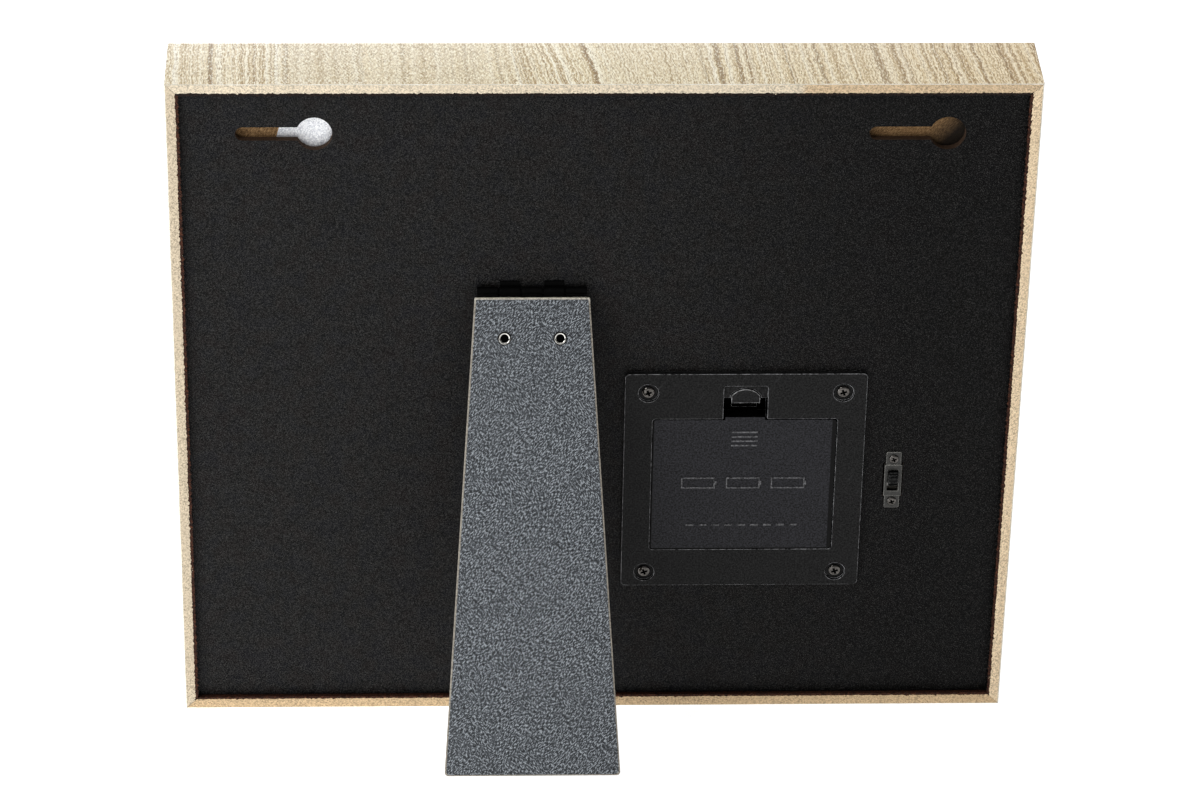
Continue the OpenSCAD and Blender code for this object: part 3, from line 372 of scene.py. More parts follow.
def plain(name, low, high, rough=(0.4, 0.6), spec=0.5, scale=1.5, height=0.00005):
    """Insulation, foam, sleeve or sheet: two close colours, mottled, with its own surface."""
    m = Look(name, Specular_IOR_Level=spec)
    mottle = m.noise(m.place(), scale, 4.0, 0.6)
    fine = m.noise(m.place(), scale * 4.2, 2.0, 0.6)
    broad = m.noise(m.place(), scale * 0.06, 2.0)
    base = m.ramp(m.mix(0.5, mottle, broad), (0.35, low), (0.65, high))
    m.colour(m.over(base, fine, (0.32, 0.35), (0.45, 0.0), low))
    m.rough(mottle, *rough)
    m.bump((mottle, height * 2, 0.4), (fine, height, 0.4))
    return m.mat


def hardboard(name, dark, mid, light, shaded=False):
    """Brown hardboard with its mesh mark and fine fibres. Shaded: it falls into shadow over
    20 mm, low on the -X side."""
    m = Look(name, Specular_IOR_Level=0.2)
    mesh = m.noise(m.place((1.5, 1.5, 0.45), turn=(0, 0.7, 0)), 2.0, 3.0, 0.7)
    fibres = m.noise(m.place(), 3.6, 3.0, 0.7)
    broad = m.noise(m.place((0.04, 0.04, 0.04)), 1.0, 2.0)
    base = m.ramp(mesh, (0.36, dark), (0.5, mid), (0.64, light))
    base = m.over(base, broad, (0.3, 0.0), (0.7, 0.3), mid)
    base = m.over(base, fibres, (0.56, 0.0), (0.7, 0.5), light)
    if shaded:
        at = m.place()
        fall = m.math("MULTIPLY_ADD", m.part(at, 0), -1.0, m.math("MULTIPLY", m.part(at, 2), -0.9))
        shade_from, shade_over = -95, 20
        fall = m.math("MULTIPLY_ADD", fall, 1 / shade_over, -shade_from / shade_over)
        base = m.mix(m.ramp(fall, (0.15, 0.0), (0.40, 0.6), (0.66, 0.97)), base, tone(8, 5, 3))
    m.colour(base)
    m.rough(fibres, 0.9, 0.7)
    m.bump((mesh, 0.0004, 0.6), (fibres, 0.0001, 0.5))
    return m.mat


def foil():
    """Silvery tape: bright, crinkled and speckled."""
    m = Look("foil", Metallic=0.25, Specular_IOR_Level=0.6)
    specks = m.cells(m.place(), 1.9)
    crinkle = m.noise(m.place(), 1.3, 5.0, 0.75, 1.0)
    base = m.ramp(specks, (0.05, grey(255)), (0.35, tone(246, 247, 249)),
                  (0.7, tone(206, 208, 214)))
    base = m.over(base, crinkle, (0.36, 0.7), (0.47, 0.0), tone(180, 182, 190))
    m.colour(m.over(base, crinkle, (0.5, 0.0), (0.62, 0.8), grey(255)))
    m.rough(crinkle, 0.3, 0.55)
    m.bump((crinkle, 0.0003, 0.5), (specks, 0.0002, 0.4))
    return m.mat


def clear_pane():
    """Clear acrylic with faint wipe marks in its gloss."""
    m = Look("clear_pane", Alpha=0.06, IOR=1.49)
    wipe = m.noise(m.place((0.05, 1, 0.3), turn=(0, 0.5, 0)), 1.0, 4.0, 0.6)
    dust = m.cells(m.place(), 0.12)
    m.colour(m.mix(m.ramp(dust, (0.0, 1.0), (0.02, 0.0)), tone(226, 236, 238), grey(255)))
    m.rough(wipe, 0.02, 0.1)
    m.bump((wipe, 0.00002, 0.1))
    return m.mat


def printed_scene():
    """A plain landscape of bands and hills, made up for this part."""
    m = Look("printed_scene", Specular_IOR_Level=0.3)
    at = m.place()
    x, z = m.part(at, 0), m.part(at, 2)
    haze = m.noise(m.place((0.01, 1, 0.05)), 1.0, 4.0, 0.6)
    height = m.math("ADD", z, m.math("MULTIPLY", haze, 26.0))
    sky = m.ramp(m.math("DIVIDE", height, 250.0), (0.40, tone(247, 214, 170)),
                 (0.58, tone(240, 186, 152)), (0.74, tone(176, 158, 178)),
                 (0.95, tone(96, 118, 160)))
    sun_x, sun_z, glow = 38.0, 138.0, 60.0
    dx, dz = m.math("SUBTRACT", x, sun_x), m.math("SUBTRACT", z, sun_z)
    far = m.math("SQRT", m.math("ADD", m.math("MULTIPLY", dx, dx), m.math("MULTIPLY", dz, dz)))
    base = m.mix(m.ramp(m.math("DIVIDE", far, glow), (0.22, 1.0), (0.235, 0.35), (0.9, 0.0)), sky,
                 tone(255, 240, 205))
    hills = ((112, 30, 0.011, 3, tone(134, 122, 148)), (92, 34, 0.016, 11, tone(84, 92, 112)),
             (68, 30, 0.022, 23, tone(44, 68, 64)), (42, 22, 0.034, 41, tone(22, 40, 30)))
    for level, swing, scale, seed, shade in hills:
        ridge = m.grain(m.math("ADD", m.math("MULTIPLY", x, scale), seed), 1.0, 5.0, 0.5)
        top = m.math("ADD", level, m.math("MULTIPLY", m.math("SUBTRACT", ridge, 0.5), swing * 2))
        under = m.math("MULTIPLY", m.math("SUBTRACT", top, z), 3.0)
        trees = m.noise(m.place((0.5, 1, 0.3)), 1.0, 4.0, 0.7)
        lit = m.mix(m.ramp(trees, (0.4, 0.0), (0.7, 0.35)), shade, tone(214, 190, 150))
        base = m.mix(m.node("Clamp", {"Value": under}).outputs[0], base, lit)
    m.colour(base)
    m.rough(haze, 0.4, 0.5)
    m.bump((m.noise(at, 4.0, 2.0), 0.00002, 0.2))
    return m.mat


WRAP = oak_wrap()
# The rims are one bare board, each given its own painted light: the bottom rim darker with painted shade, the side
# rims a painted lighter and a painted darker copy, and the top rim a painted fall from lit to shaded past 60 mm
# along it.
RIM_LIT_TONE, RIM_SHADED_TONE = tone(213, 199, 175), tone(202, 178, 145)
RIM_TOP_PAINTED_FALLOFF = raw_board("rim_top_painted_falloff", RIM_LIT_TONE, RIM_SHADED_TONE)
RIM_LEFT_PAINTED_LIGHT = raw_board("rim_left_painted_light", tone(223, 200, 167))
RIM_RIGHT_PAINTED_LIGHT = raw_board("rim_right_painted_light", tone(193, 178, 154))
RIM_LOW_PAINTED_SHADE = raw_board("rim_low_painted_shade", tone(197, 171, 135))
# The rims' inner slopes: dark brown board made darker still with painted shadow, darkest under the top rail.
RIM_SHADOW = hardboard("rim_shadow", tone(16, 7, 4), tone(42, 21, 12), tone(92, 52, 32))
RIM_SHADOW_TOP = hardboard("rim_shadow_top", tone(6, 3, 2), tone(17, 9, 6), tone(44, 27, 18))
CUT_BROWN = hardboard("cut_brown", tone(40, 28, 20), tone(60, 44, 32), tone(84, 64, 48))
BOARD_BROWN = hardboard("board_brown", tone(72, 50, 30), tone(126, 96, 62), tone(176, 142, 100),
                        shaded=True)
COATED = coated_board()
PAPER = leatherette()
# Lit and shaded copies of the leg board: painted light on its upper end, painted shade on its foot.
LEG_END_LIT = raw_board("leg_end_lit", tone(232, 224, 206))
LEG_FOOT_SHADED = raw_board("leg_foot_shaded", tone(74, 64, 52))
CASE = moulded("case_plastic", grey(6), grey(36), 1.8, 0.08)
# Painted highlight: a light plastic for rounded edges where light catches them.
EDGE_HIGHLIGHT = moulded("edge_highlight_plastic", grey(12), tone(150, 150, 152), 1.0, 0.2)
# Painted highlight for the latch tongue's rounded edges.
TONGUE_HIGHLIGHT = moulded("tongue_edge_highlight", grey(60), grey(170), 0.8, 0.3)
# The cover's raised marks, and a painted highlight on its upward-facing edges.
MARK_AND_HIGHLIGHT = moulded("mark_and_highlight_plastic", tone(26, 26, 28), tone(104, 104, 106), 1.6, 0.2)
# Painted shade: a near-black, matt plastic for recesses, gaps and hollows.
RECESS_SHADE = moulded("recess_shade_plastic", grey(2), grey(5), spec=0.02)
LATCH = moulded("latch_plastic", grey(4), tone(34, 34, 35), 2.0, 0.1)
KNOB = moulded("knob_plastic", grey(0), grey(7), 3.0, 0.03)
# Painted highlight for the knob's rounded edges and ribs.
KNOB_HIGHLIGHT = moulded("knob_edge_highlight", grey(16), tone(86, 86, 85), 1.2, 0.15)
NICKEL = metal("nickel", tone(180, 178, 172), tone(222, 220, 214), (0.12, 0.3))
EYELET = metal("eyelet_nickel", tone(196, 194, 188), tone(232, 230, 224), (0.10, 0.2),
               depth=0.000004)
# Painted shade: a dark outline round each eyelet and a dark hole.
EYELET_SHADE = metal("eyelet_shade", grey(2), grey(10), (0.5, 0.7), metallic=0.0,
                   spec=0.04, depth=0.00001)
SCREW = metal("screw_zinc", tone(46, 44, 42), tone(124, 120, 116), (0.07, 0.2), depth=0.00001)
STEEL = metal("plain_steel", grey(120), tone(176, 176, 174), (0.25, 0.45), (0.1, 2, 2))
SEAM = plain("wrap_seam", tone(176, 168, 150), tone(248, 246, 236), (0.5, 0.7), 0.3, 0.7)
HINGE = metal("black_hinge", grey(1), grey(8), (0.5, 0.7), metallic=0.0, spec=0.04)
BRACKET = metal("blackened_steel", tone(40, 40, 39), tone(66, 65, 62), (0.30, 0.5),
                (0.6, 1, 1.5), metallic=0.55)
# Painted highlight for the bracket's rounded edges.
BRACKET_HIGHLIGHT = metal("bracket_edge_highlight", tone(90, 90, 86), tone(176, 174, 168), (0.3, 0.5),
                     metallic=0.5)
SLIDER = metal("slider_steel", tone(110, 109, 106), tone(168, 166, 162), (0.3, 0.5),
               metallic=0.2)
FOIL = foil()
PANE = clear_pane()
SCENE = printed_scene()
OPAL = plain("opal_sheet", tone(226, 226, 220), tone(240, 240, 235), (0.35, 0.5))
FOAM = plain("white_foam", tone(214, 213, 207), tone(236, 235, 230), (0.8, 0.95), 0.2, 1.8, 0.0002)
STRIP = plain("light_strip", tone(214, 214, 206), tone(238, 238, 232), (0.35, 0.5))
LED = plain("led_resin", tone(226, 196, 92), tone(240, 220, 132), (0.25, 0.4), 0.5, 2.5)
SLEEVE = plain("cell_sleeve", tone(34, 62, 84), tone(50, 84, 108), (0.22, 0.34), 0.5, 0.6)
SLEEVE_BAND = plain("cell_band", tone(150, 108, 70), tone(184, 140, 96), (0.25, 0.35), 0.5, 0.6)
PHENOLIC = plain("fibre_board", tone(118, 112, 102), tone(160, 154, 144), (0.4, 0.6))
RED = plain("wire_red", tone(150, 22, 20), tone(186, 34, 30), (0.3, 0.45))
BLACK = plain("wire_black", tone(18, 18, 19), tone(34, 34, 35), (0.3, 0.45))
WHITE = plain("wire_white", tone(212, 212, 208), tone(236, 236, 233), (0.3, 0.45))
BUFF = plain("resistor_lacquer", tone(186, 160, 116), tone(208, 184, 142), (0.3, 0.45))

# ---------------------------------------------------------------- mesh tools


def link(name, mesh, space, body, slot, *nodes):
    """A new piece from a mesh that is drawn in a space."""
    obj = bpy.data.objects.new(name, mesh)
    obj.matrix_world = space
    bpy.context.scene.collection.objects.link(obj)
    bpy.context.view_layer.update()
    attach(obj, body)
    if nodes:
        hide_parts(*nodes)
    return obj


def first_for(i, node):
    """Of several like pieces, the first replaces the CAD node that they share."""
    return [node] if i == 0 else []


def mesh_from(bm, name, mats=(), sharp=None):
    """A closed mesh from a bmesh, its faces turned outward. With an angle it is shaded smooth, up
    to edges sharper than that."""
    bmesh.ops.recalc_face_normals(bm, faces=bm.faces)
    me = bpy.data.meshes.new(name)
    bm.to_mesh(me)
    bm.free()
    for mat in mats:
        me.materials.append(mat)
    if sharp:
        for poly in me.polygons:
            poly.use_smooth = True
        me.set_sharp_from_angle(angle=math.radians(sharp))
    return me


def solid_of(name, verts, faces, picks, mats, sharp):
    """A closed mesh from points, faces and each face's material number."""
    bm = bmesh.new()
    pts = [bm.verts.new(v) for v in verts]
    for face, pick in zip(faces, picks):
        bm.faces.new([pts[i] for i in face]).material_index = pick
    return mesh_from(bm, name, mats, sharp)


SHARP = 35  # degrees between faces, from which an edge counts as sharp


def mesh_of(name, verts, faces, mats, picks=None):
    """A mesh with its materials, its faces as they are given; picks as in solid_of."""
    me = bpy.data.meshes.new(name)
    me.from_pydata([tuple(v) for v in verts], [], faces)
    for mat in mats:
        me.materials.append(mat)
    for i, poly in enumerate(me.polygons):
        poly.use_smooth = True
        if picks:
            poly.material_index = picks[i]
    me.validate()
    me.update()
    me.set_sharp_from_angle(angle=math.radians(SHARP))
    return me


def welded(node, space):
    """A CAD node's mesh as a bmesh in a space, with doubled points joined and flats merged."""
    bm = bmesh.new()
    bm.from_mesh(NODES[node].data)
    bm.transform(space.inverted())
    bmesh.ops.remove_doubles(bm, verts=bm.verts, dist=2e-6)
    bmesh.ops.dissolve_limit(bm, angle_limit=math.radians(0.6), verts=bm.verts, edges=bm.edges)
    return bm


def islands(node, space):
    """Lowest and highest corner of each loose lump of a CAD node, in a space."""
    bm = welded(node, space)
    seen, boxes = set(), []
    for start in bm.verts:
        if start in seen:
            continue
        seen.add(start)
        todo, pts = [start], []
        while todo:
            v = todo.pop()
            pts.append(v.co.copy())
            for e in v.link_edges:
                w = e.other_vert(v)
                if w not in seen:
                    seen.add(w)
                    todo.append(w)
        boxes.append(span(pts))
    bm.free()
    return sorted(boxes, key=lambda b: (round(b[0].x, 4), round(b[0].z, 4)))


def outward_face(node, space):
    """Lowest and highest corner of a CAD node's largest face towards the back."""
    bm = welded(node, space)
    face = max((f for f in bm.faces if f.normal.y > 0.7), key=lambda f: f.calc_area())
    box = span([v.co.copy() for v in face.verts])
    bm.free()
    return box


def refine(node, slot, mats, width, pick=None, space=PANEL, body="frame", segments=2, edge=-1):
    """A CAD node's own shape as a new piece, with its edges rounded off by width millimetres.
    pick gives a face's material number and edge that of the rounded edges."""
    bm = welded(node, space)
    verts = [v.co.copy() for v in bm.verts]
    index = {v: i for i, v in enumerate(bm.verts)}
    faces = [[index[v] for v in f.verts] for f in bm.faces]
    picks = [pick(f.normal, f.calc_center_median()) for f in bm.faces] if pick else None
    bm.free()
    me = mesh_of(node + ".mesh", verts, faces, mats, picks)
    obj = link(node + ".shape", me, space, body, slot, node)
    if width:
        mod = obj.modifiers.new("edges", "BEVEL")
        mod.width, mod.segments = width * MM, segments
        mod.limit_method, mod.angle_limit = "ANGLE", math.radians(SHARP)
        mod.use_clamp_overlap, mod.harden_normals = False, True
        mod.miter_outer = "MITER_ARC"
        mod.material = edge
    return obj


def dress(node, mat):
    """A wire keeps its CAD shape and gets its material and a rounder section."""
    obj = NODES[node]
    obj.data.materials.clear()
    obj.data.materials.append(mat)
    weld = obj.modifiers.new("weld", "WELD")
    weld.merge_threshold = 2e-6
    sub = obj.modifiers.new("round", "SUBSURF")
    sub.levels = sub.render_levels = 1


def lathe(profile, centre, axis, steps, mats, name, picks=None, sharp=SHARP):
    """Turns (radius, height) pairs about the x or y axis through centre. picks gives each band's
    material number."""
    verts, faces, marks, rings = [], [], [], []
    for r, h in profile:
        ring = []
        for k in range(1 if r < 1e-7 else steps):
            a = 2 * math.pi * k / steps
            u, v = r * math.cos(a), r * math.sin(a)
            p = (u, h, v) if axis == "y" else (h, u, v)
            ring.append(len(verts))
            verts.append(Vector(centre) + Vector(p))
        rings.append(ring)
    for j, (a, b) in enumerate(zip(rings, rings[1:])):
        for k in range(steps):
            quad = [a[k % len(a)], a[(k + 1) % len(a)], b[(k + 1) % len(b)], b[k % len(b)]]
            face = list(dict.fromkeys(quad))
            if len(face) > 2:
                faces.append(face)
                marks.append(picks[j] if picks else 0)
    return solid_of(name, verts, faces, marks, mats, sharp)


def arc(centre, radii, low, high):
    """(radius, height) pairs every 15 degrees round an arc, for lathe."""
    turns = [math.radians(a) for a in range(low, high + 1, 15)]
    return [(centre[0] + radii[0] * math.cos(a), centre[1] + radii[1] * math.sin(a)) for a in turns]


def tube(name, path, radius, sides, mats):
    """A round closed tube along points."""
    bm = bmesh.new()
    rings, side = [], Vector((0.13, 0.61, 0.79)).normalized()
    for i, p in enumerate(path):
        t = (path[min(i + 1, len(path) - 1)] - path[max(i - 1, 0)]).normalized()
        u = (side - t * side.dot(t)).normalized()
        side, w = u, t.cross(u)
        rings.append([bm.verts.new(p + radius * (math.cos(a) * u + math.sin(a) * w))
                      for a in (2 * math.pi * k / sides for k in range(sides))])
    for a, b in zip(rings, rings[1:]):
        for k in range(sides):
            bm.faces.new([a[k], a[(k + 1) % sides], b[(k + 1) % sides], b[k]])
    bm.faces.new(rings[0][::-1])
    bm.faces.new(rings[-1])
    return mesh_from(bm, name, mats, 50)


# ---------------------------------------------------------------- rails
# Each rail is a section swept between its two mitres. Its inner rear edge is ragged.

rail_low, rail_high = corners("rail_bottom", PANEL)
WIDTH, DEPTH = rail_high.x - rail_low.x, rail_high.y - rail_low.y
HEIGHT = corners("rail_top", PANEL)[1].z
PANEL_IN = corners("back_panel", PANEL)[0].y
PANE_OUT = corners("front_pane", PANEL)[0].y


def section_marks():
    """Heights of the CAD rail's section: the rim, the wall inside it and the lip."""
    bm = welded("rail_bottom", PANEL)
    levels = sorted({round(v.co.z, 5) for v in bm.verts})
    bm.free()
    return levels[1], levels[2], levels[3]


RIM, WALL, LIP_IN = section_marks()


def rail_mesh(name, length, seed, rim_mat, shadow_mat, over):
    """A rail along x with its outer side on z = 0 and its rear rim on y = 0. The rim's inner edge is ragged: pale
    chips, then a brown slope in painted shadow that sticks out a little over the opening. over widens the pale rim
    by that many millimetres."""
    rnd = random.Random(seed)
    spacing = 0.36
    outer = 0.35 * MM
    end = length / 2 - 0.06 * MM
    stations = int(length / (spacing * MM))
    chips = []
    for j in range(stations + 1):
        at = j * spacing
        soft = noise.noise((at * 0.12, seed, 0.0))
        keen = noise.noise((at * 0.8, seed, 7.0))
        bite = 0.45 * rnd.random() if rnd.random() < 0.06 else 0.0
        cut = 0.20 + 0.10 * soft + 0.30 * keen + 0.16 * rnd.random() + bite - over
        jut = 0.55 + 0.12 * soft + 0.50 * noise.noise((at * 0.9, seed, 19.0)) + 0.22 * rnd.random()
        drop = 0.10 + 0.1 * rnd.random()
        chips.append((cut * MM, max(0.05, jut + over / 2) * MM, drop * MM))
    verts, faces, picks = [], [], []
    for j in range(stations + 1):
        t = -1 + 2 * j / stations
        cut, jut, drop = chips[j]
        sec = [(-DEPTH + outer, 0.0), (-outer, 0.0), (-outer * 0.3, outer * 0.3), (0.0, outer),
               (0.0, RIM - cut), (-drop, RIM + jut), (-3 * drop, RIM), (PANEL_IN, RIM),
               (PANEL_IN, WALL), (PANE_OUT, WALL), (PANE_OUT, LIP_IN - 0.2 * MM),
               (PANE_OUT - 0.2 * MM, LIP_IN), (-DEPTH + 0.4 * MM, LIP_IN),
               (-DEPTH, LIP_IN - 0.4 * MM), (-DEPTH, outer), (-DEPTH + outer * 0.3, outer * 0.3)]
        for y, z in sec:
            verts.append((t * (end - z), y, z))
    n = len(sec)
    wrap, bare, shadowed, seam = range(4)
    kinds = [wrap] * 2 + [seam, bare] + [shadowed] * 3 + [bare] * 4 + [wrap] * 5
    for j in range(stations):
        for k in range(n):
            a, b = j * n + k, j * n + (k + 1) % n
            faces.append([a, b, b + n, a + n])
            picks.append(kinds[k])
    faces += [list(range(n))[::-1], [stations * n + k for k in range(n)]]
    picks += [shadowed] * 2
    return solid_of(name, verts, faces, picks, (WRAP, rim_mat, shadow_mat, SEAM), 28)


def turned(x, z, degrees):
    return PANEL @ Matrix.Translation((x, 0, z)) @ Matrix.Rotation(math.radians(degrees), 4, "Y")


# Each rail's space, length, seed, rim, slope in painted shadow and added rim width in millimetres
RAILS = {
    "rail_bottom": (turned(0, 0, 0), WIDTH, 3, RIM_LOW_PAINTED_SHADE, RIM_SHADOW, 0.45),
    "rail_top": (turned(0, HEIGHT, 180), WIDTH, 5, RIM_TOP_PAINTED_FALLOFF, RIM_SHADOW_TOP, 0.0),
    "rail_left": (turned(-WIDTH / 2, HEIGHT / 2, 90), HEIGHT, 7, RIM_LEFT_PAINTED_LIGHT, RIM_SHADOW, 0.0),
    "rail_right": (turned(WIDTH / 2, HEIGHT / 2, -90), HEIGHT, 9, RIM_RIGHT_PAINTED_LIGHT, RIM_SHADOW, 0.0),
}


FIBRES_PER_MM = 0.14


def splinters(name, length, seed, count, mat):
    """Loose fibres that stand out from the rim's inner edge over the gap to the panel."""
    rnd = random.Random(seed)
    bm = bmesh.new()
    for _ in range(count):
        x = rnd.uniform(-1, 1) * (length / 2 - RIM - 1 * MM)
        long, reach = rnd.uniform(0.4, 2.4) * MM, rnd.uniform(0.12, 0.5) * MM
        y = -rnd.uniform(0.15, 1.0) * MM
        thick = rnd.uniform(0.05, 0.14) * MM
        tip = x + rnd.uniform(-0.5, 0.9) * long
        base = [(x - long / 2, y, RIM - 0.05 * MM), (x + long / 2, y, RIM - 0.05 * MM),
                (tip + 0.12 * MM, y - 0.03 * MM, RIM + reach * 0.8), (tip, y, RIM + reach)]
        lower = [bm.verts.new(p) for p in base]
        upper = [bm.verts.new((p[0], p[1] + thick * (1 if i < 2 else 0.3), p[2]))
                 for i, p in enumerate(base)]
        bm.faces.new(lower)
        bm.faces.new(upper[::-1])
        for k in range(4):
            bm.faces.new([lower[k], upper[k], upper[(k + 1) % 4], lower[(k + 1) % 4]])
    return mesh_from(bm, name, [mat])


for node, (space, length, seed, rim_mat, shadow_mat, over) in RAILS.items():
    rail = rail_mesh(node, length, seed, rim_mat, shadow_mat, over)
    link(node + ".shape", rail, space, "frame", "rail_wood", node)
    fibre_count = int(length / MM * FIBRES_PER_MM)
    fibres = splinters(node + ".fibres", length, seed + 50, fibre_count, rim_mat)
    link(node + ".fibres", fibres, space, "frame", "rail_wood")

# ---------------------------------------------------------------- panel and layers


def board_pick(normal, _centre):
    return 0 if normal.y > 0.5 else 1


refine("back_panel", "black_board", [COATED, CUT_BROWN], 0.12, board_pick)
refine("light_board", "brown_board", [BOARD_BROWN], 0.1)


def foil_tape():
    """Crinkled tape with a slanted end, cut to the CAD tape's outline."""
    bm = welded("foil_patch", PANEL)
    low, top = (end.y for end in span([v.co for v in bm.verts]))
    outline = next(f for f in bm.faces if f.normal.y > 0.5)
    pts = [v.co.copy() for v in outline.verts]
    bm.free()
    (x0, _, z0), (x1, _, z1) = span(pts)

    def far(z):
        ends = sorted((p.z, p.x) for p in pts if p.x > (x0 + x1) / 2)
        f = (z - ends[0][0]) / (ends[-1][0] - ends[0][0])
        return ends[0][1] + f * (ends[-1][1] - ends[0][1])

    nx, nz = 60, 42
    verts, faces = [], []
    for side in (0, 1):
        for j in range(nz + 1):
            z = z0 + (z1 - z0) * j / nz
            for i in range(nx + 1):
                x = x0 + (far(z) - x0) * i / nx
                rise = noise.fractal((x / MM * 0.45, 3.0, z / MM * 0.45), 0.9, 2.0, 3)
                y = low + (top - low) * (0.5 + 0.45 * max(-1, min(1, rise)))
                verts.append((x, y if side == 0 else low, z))
    row = nx + 1
    size = row * (nz + 1)
    for j in range(nz):
        for i in range(nx):
            a = j * row + i
            faces.append([a, a + row, a + row + 1, a + 1])
            faces.append([size + a, size + a + 1, size + a + row + 1, size + a + row])
    rim = (list(range(row)) + [j * row + nx for j in range(1, nz + 1)]
           + [nz * row + i for i in range(nx - 1, -1, -1)]
           + [j * row for j in range(nz - 1, 0, -1)])
    for a, b in zip(rim, rim[1:] + rim[:1]):
        faces.append([a, b, size + b, size + a])
    return mesh_of("foil_tape", verts, faces, [FOIL])


link("foil_patch.shape", foil_tape(), PANEL, "frame", "foil", "foil_patch")

refine("front_pane", "clear_pane", [PANE], 0.2)
refine("picture_film", "picture", [SCENE], 0)
refine("diffuser_sheet", "diffuser", [OPAL], 0.15)
for side in ("top", "bottom", "left", "right"):
    refine("spacer_" + side, "white_foam", [FOAM], 0.4)
for row in ("upper", "lower"):
    refine("led_strip_" + row, "strip", [STRIP], 0.08)
    refine("leds_" + row, "led", [LED], 0.15)

# ---------------------------------------------------------------- leg and hinge

# The leg's cut edge is paler in its top two millimetres, a painted highlight where light falls
LEG_TOP = corners("leg_core", LEG)[1].z / MM
LEG_EDGE = raw_board("leg_edge", tone(156, 149, 138), tone(212, 207, 196), 2, LEG_TOP - 2)


def core_pick(normal, _centre):
    """Sides, upper end and foot of the leg's board take different tones: the upper end painted pale as if lit from
    above, the foot dark with painted shade.
    """
    sides, upper, foot = range(3)
    if normal.z > 0.7:
        return upper
    return foot if normal.z < -0.7 else sides


refine("leg_core", "leg_board", [LEG_EDGE, LEG_END_LIT, LEG_FOOT_SHADED], 0.22, core_pick, LEG, "leg",
       segments=3)
refine("leg_facing", "leg_paper", [PAPER], 0.12, space=LEG, body="leg")


def eyelets():
    """Turned eyelets with a rolled rim at the front and a flared one behind."""
    for i, (lo, hi) in enumerate(islands("leg_eyelets", LEG)):
        centre = (lo + hi) / 2
        outer = (hi.x - lo.x) / 2
        rim = 0.45 * MM
        hole = 1.25 * MM
        barrel = 1.6 * MM
        mid, half = (outer + hole) / 2, (outer - hole) / 2
        top, back = hi.y - centre.y, lo.y - centre.y
        roll = arc((mid, top - rim), (half, rim), 0, 180)
        flare = arc((mid, back + rim), (half, rim), 180, 360)
        profile = ([(barrel, top - rim)] + roll + [(hole, 0.0)] + flare + [(barrel, back + rim)]
                   + [(barrel, 0.0)] + [(barrel, top - rim)])
        # The roll is bright from its crest inwards; all else, its outer edge and the hole, is painted dark as
        # painted shade
        picks = [1] * 6 + [0] * 7 + [1] * (len(profile) - 14)
        me = lathe(profile, centre, "y", 56, [EYELET, EYELET_SHADE], "eyelet", picks)
        link(f"leg_eyelet_{i + 1}", me, LEG, "leg", "nickel", *first_for(i, "leg_eyelets"))


eyelets()
refine("hinge_moving_leaf", "black_steel", [HINGE], 0.08, space=LEG, body="leg")
refine("hinge_fixed_leaf", "black_steel", [HINGE], 0.08)
# The steel pin takes the hinge's black: painted shade in the gaps between the knuckles.
refine("hinge_pin", "plain_steel", [HINGE], 0.15)


def rivets():
    """Rivets with a domed head at each end."""
    for i, (lo, hi) in enumerate(islands("panel_rivets", PANEL)):
        centre = (lo + hi) / 2
        outer, shank, head = (hi.x - lo.x) / 2, 1.2 * MM, 0.6 * MM
        top = hi.y - centre.y
        dome = arc((0.0, top - head), (outer, head), 0, 90)
        foot = [(r, -h) for r, h in dome]
        profile = ([(0.0, foot[-1][1])] + foot[-2::-1] + [(shank, head - top), (shank, top - head)]
                   + dome[:-1] + [(0.0, dome[-1][1])])
        me = lathe(profile, centre, "y", 40, [STEEL], "rivet")
        link(f"panel_rivet_{i + 1}", me, PANEL, "frame", "plain_steel",
             *first_for(i, "panel_rivets"))


rivets()

# ---------------------------------------------------------------- battery box

case_low, case_high = corners("battery_case", PANEL)
case_middle = (case_low + case_high) / 2
cover_high = corners("battery_cover", PANEL)[1]
lid_low, lid_high = outward_face("battery_cover", PANEL)
# The cover's thin dark line inside its left, right and lower sides is painted shadow for the gap round it.
COVER = moulded("cover_plastic", tone(9, 9, 10), tone(47, 47, 51), 1.8, 0.11,
                ((lid_low.x + lid_high.x) / 2 / MM, (lid_high.x - lid_low.x) / 2 / MM,
                 lid_low.z / MM))


FLANGE_THICK, INNER_X, INNER_Z = 2.0 * MM, 37.5 * MM, 38.5 * MM


def recess_shade_pick(normal, centre):
    """The pocket, the bay and the walls of the recesses are painted near black, as painted shade."""
    below_flange = centre.y < case_high.y - FLANGE_THICK
    inside_rim = (abs(centre.x - case_middle.x) < INNER_X
                  and abs(centre.z - case_middle.z) < INNER_Z)
    return 2 if below_flange or (inside_rim and abs(normal.y) < 0.5) else 0


def mark_pick(normal, centre):
    """The raised marks are lighter and the cover's upper edges carry a painted highlight; the other edges and the
    catch are painted near black with painted shade."""
    raised = centre.y > cover_high.y - 0.1 * MM
    on_catch = centre.z > cover_high.z - 3 * MM and centre.y < cover_high.y - 0.3 * MM
    if normal.y > 0.7:
        return 1 if raised else 0
    if on_catch:
        return 2
    if abs(normal.y) > 0.5:
        return 0
    return 1 if normal.z > 0.6 else 2


def latch_pick(_normal, centre):
    """Under the flange's face the latch is painted near black, as painted shade."""
    return 2 if centre.y < case_high.y - 0.9 * MM else 0


# Painted highlight on the case's rounded edges; painted shade in its recesses.
refine("battery_case", "black_plastic", [CASE, EDGE_HIGHLIGHT, RECESS_SHADE], 0.12, recess_shade_pick, edge=1)
refine("battery_cover", "black_plastic", [COVER, MARK_AND_HIGHLIGHT, RECESS_SHADE], 0.07, mark_pick, body="cover")
refine("battery_latch", "black_plastic", [LATCH, TONGUE_HIGHLIGHT, RECESS_SHADE], 0.2, latch_pick, body="latch",
       edge=1)


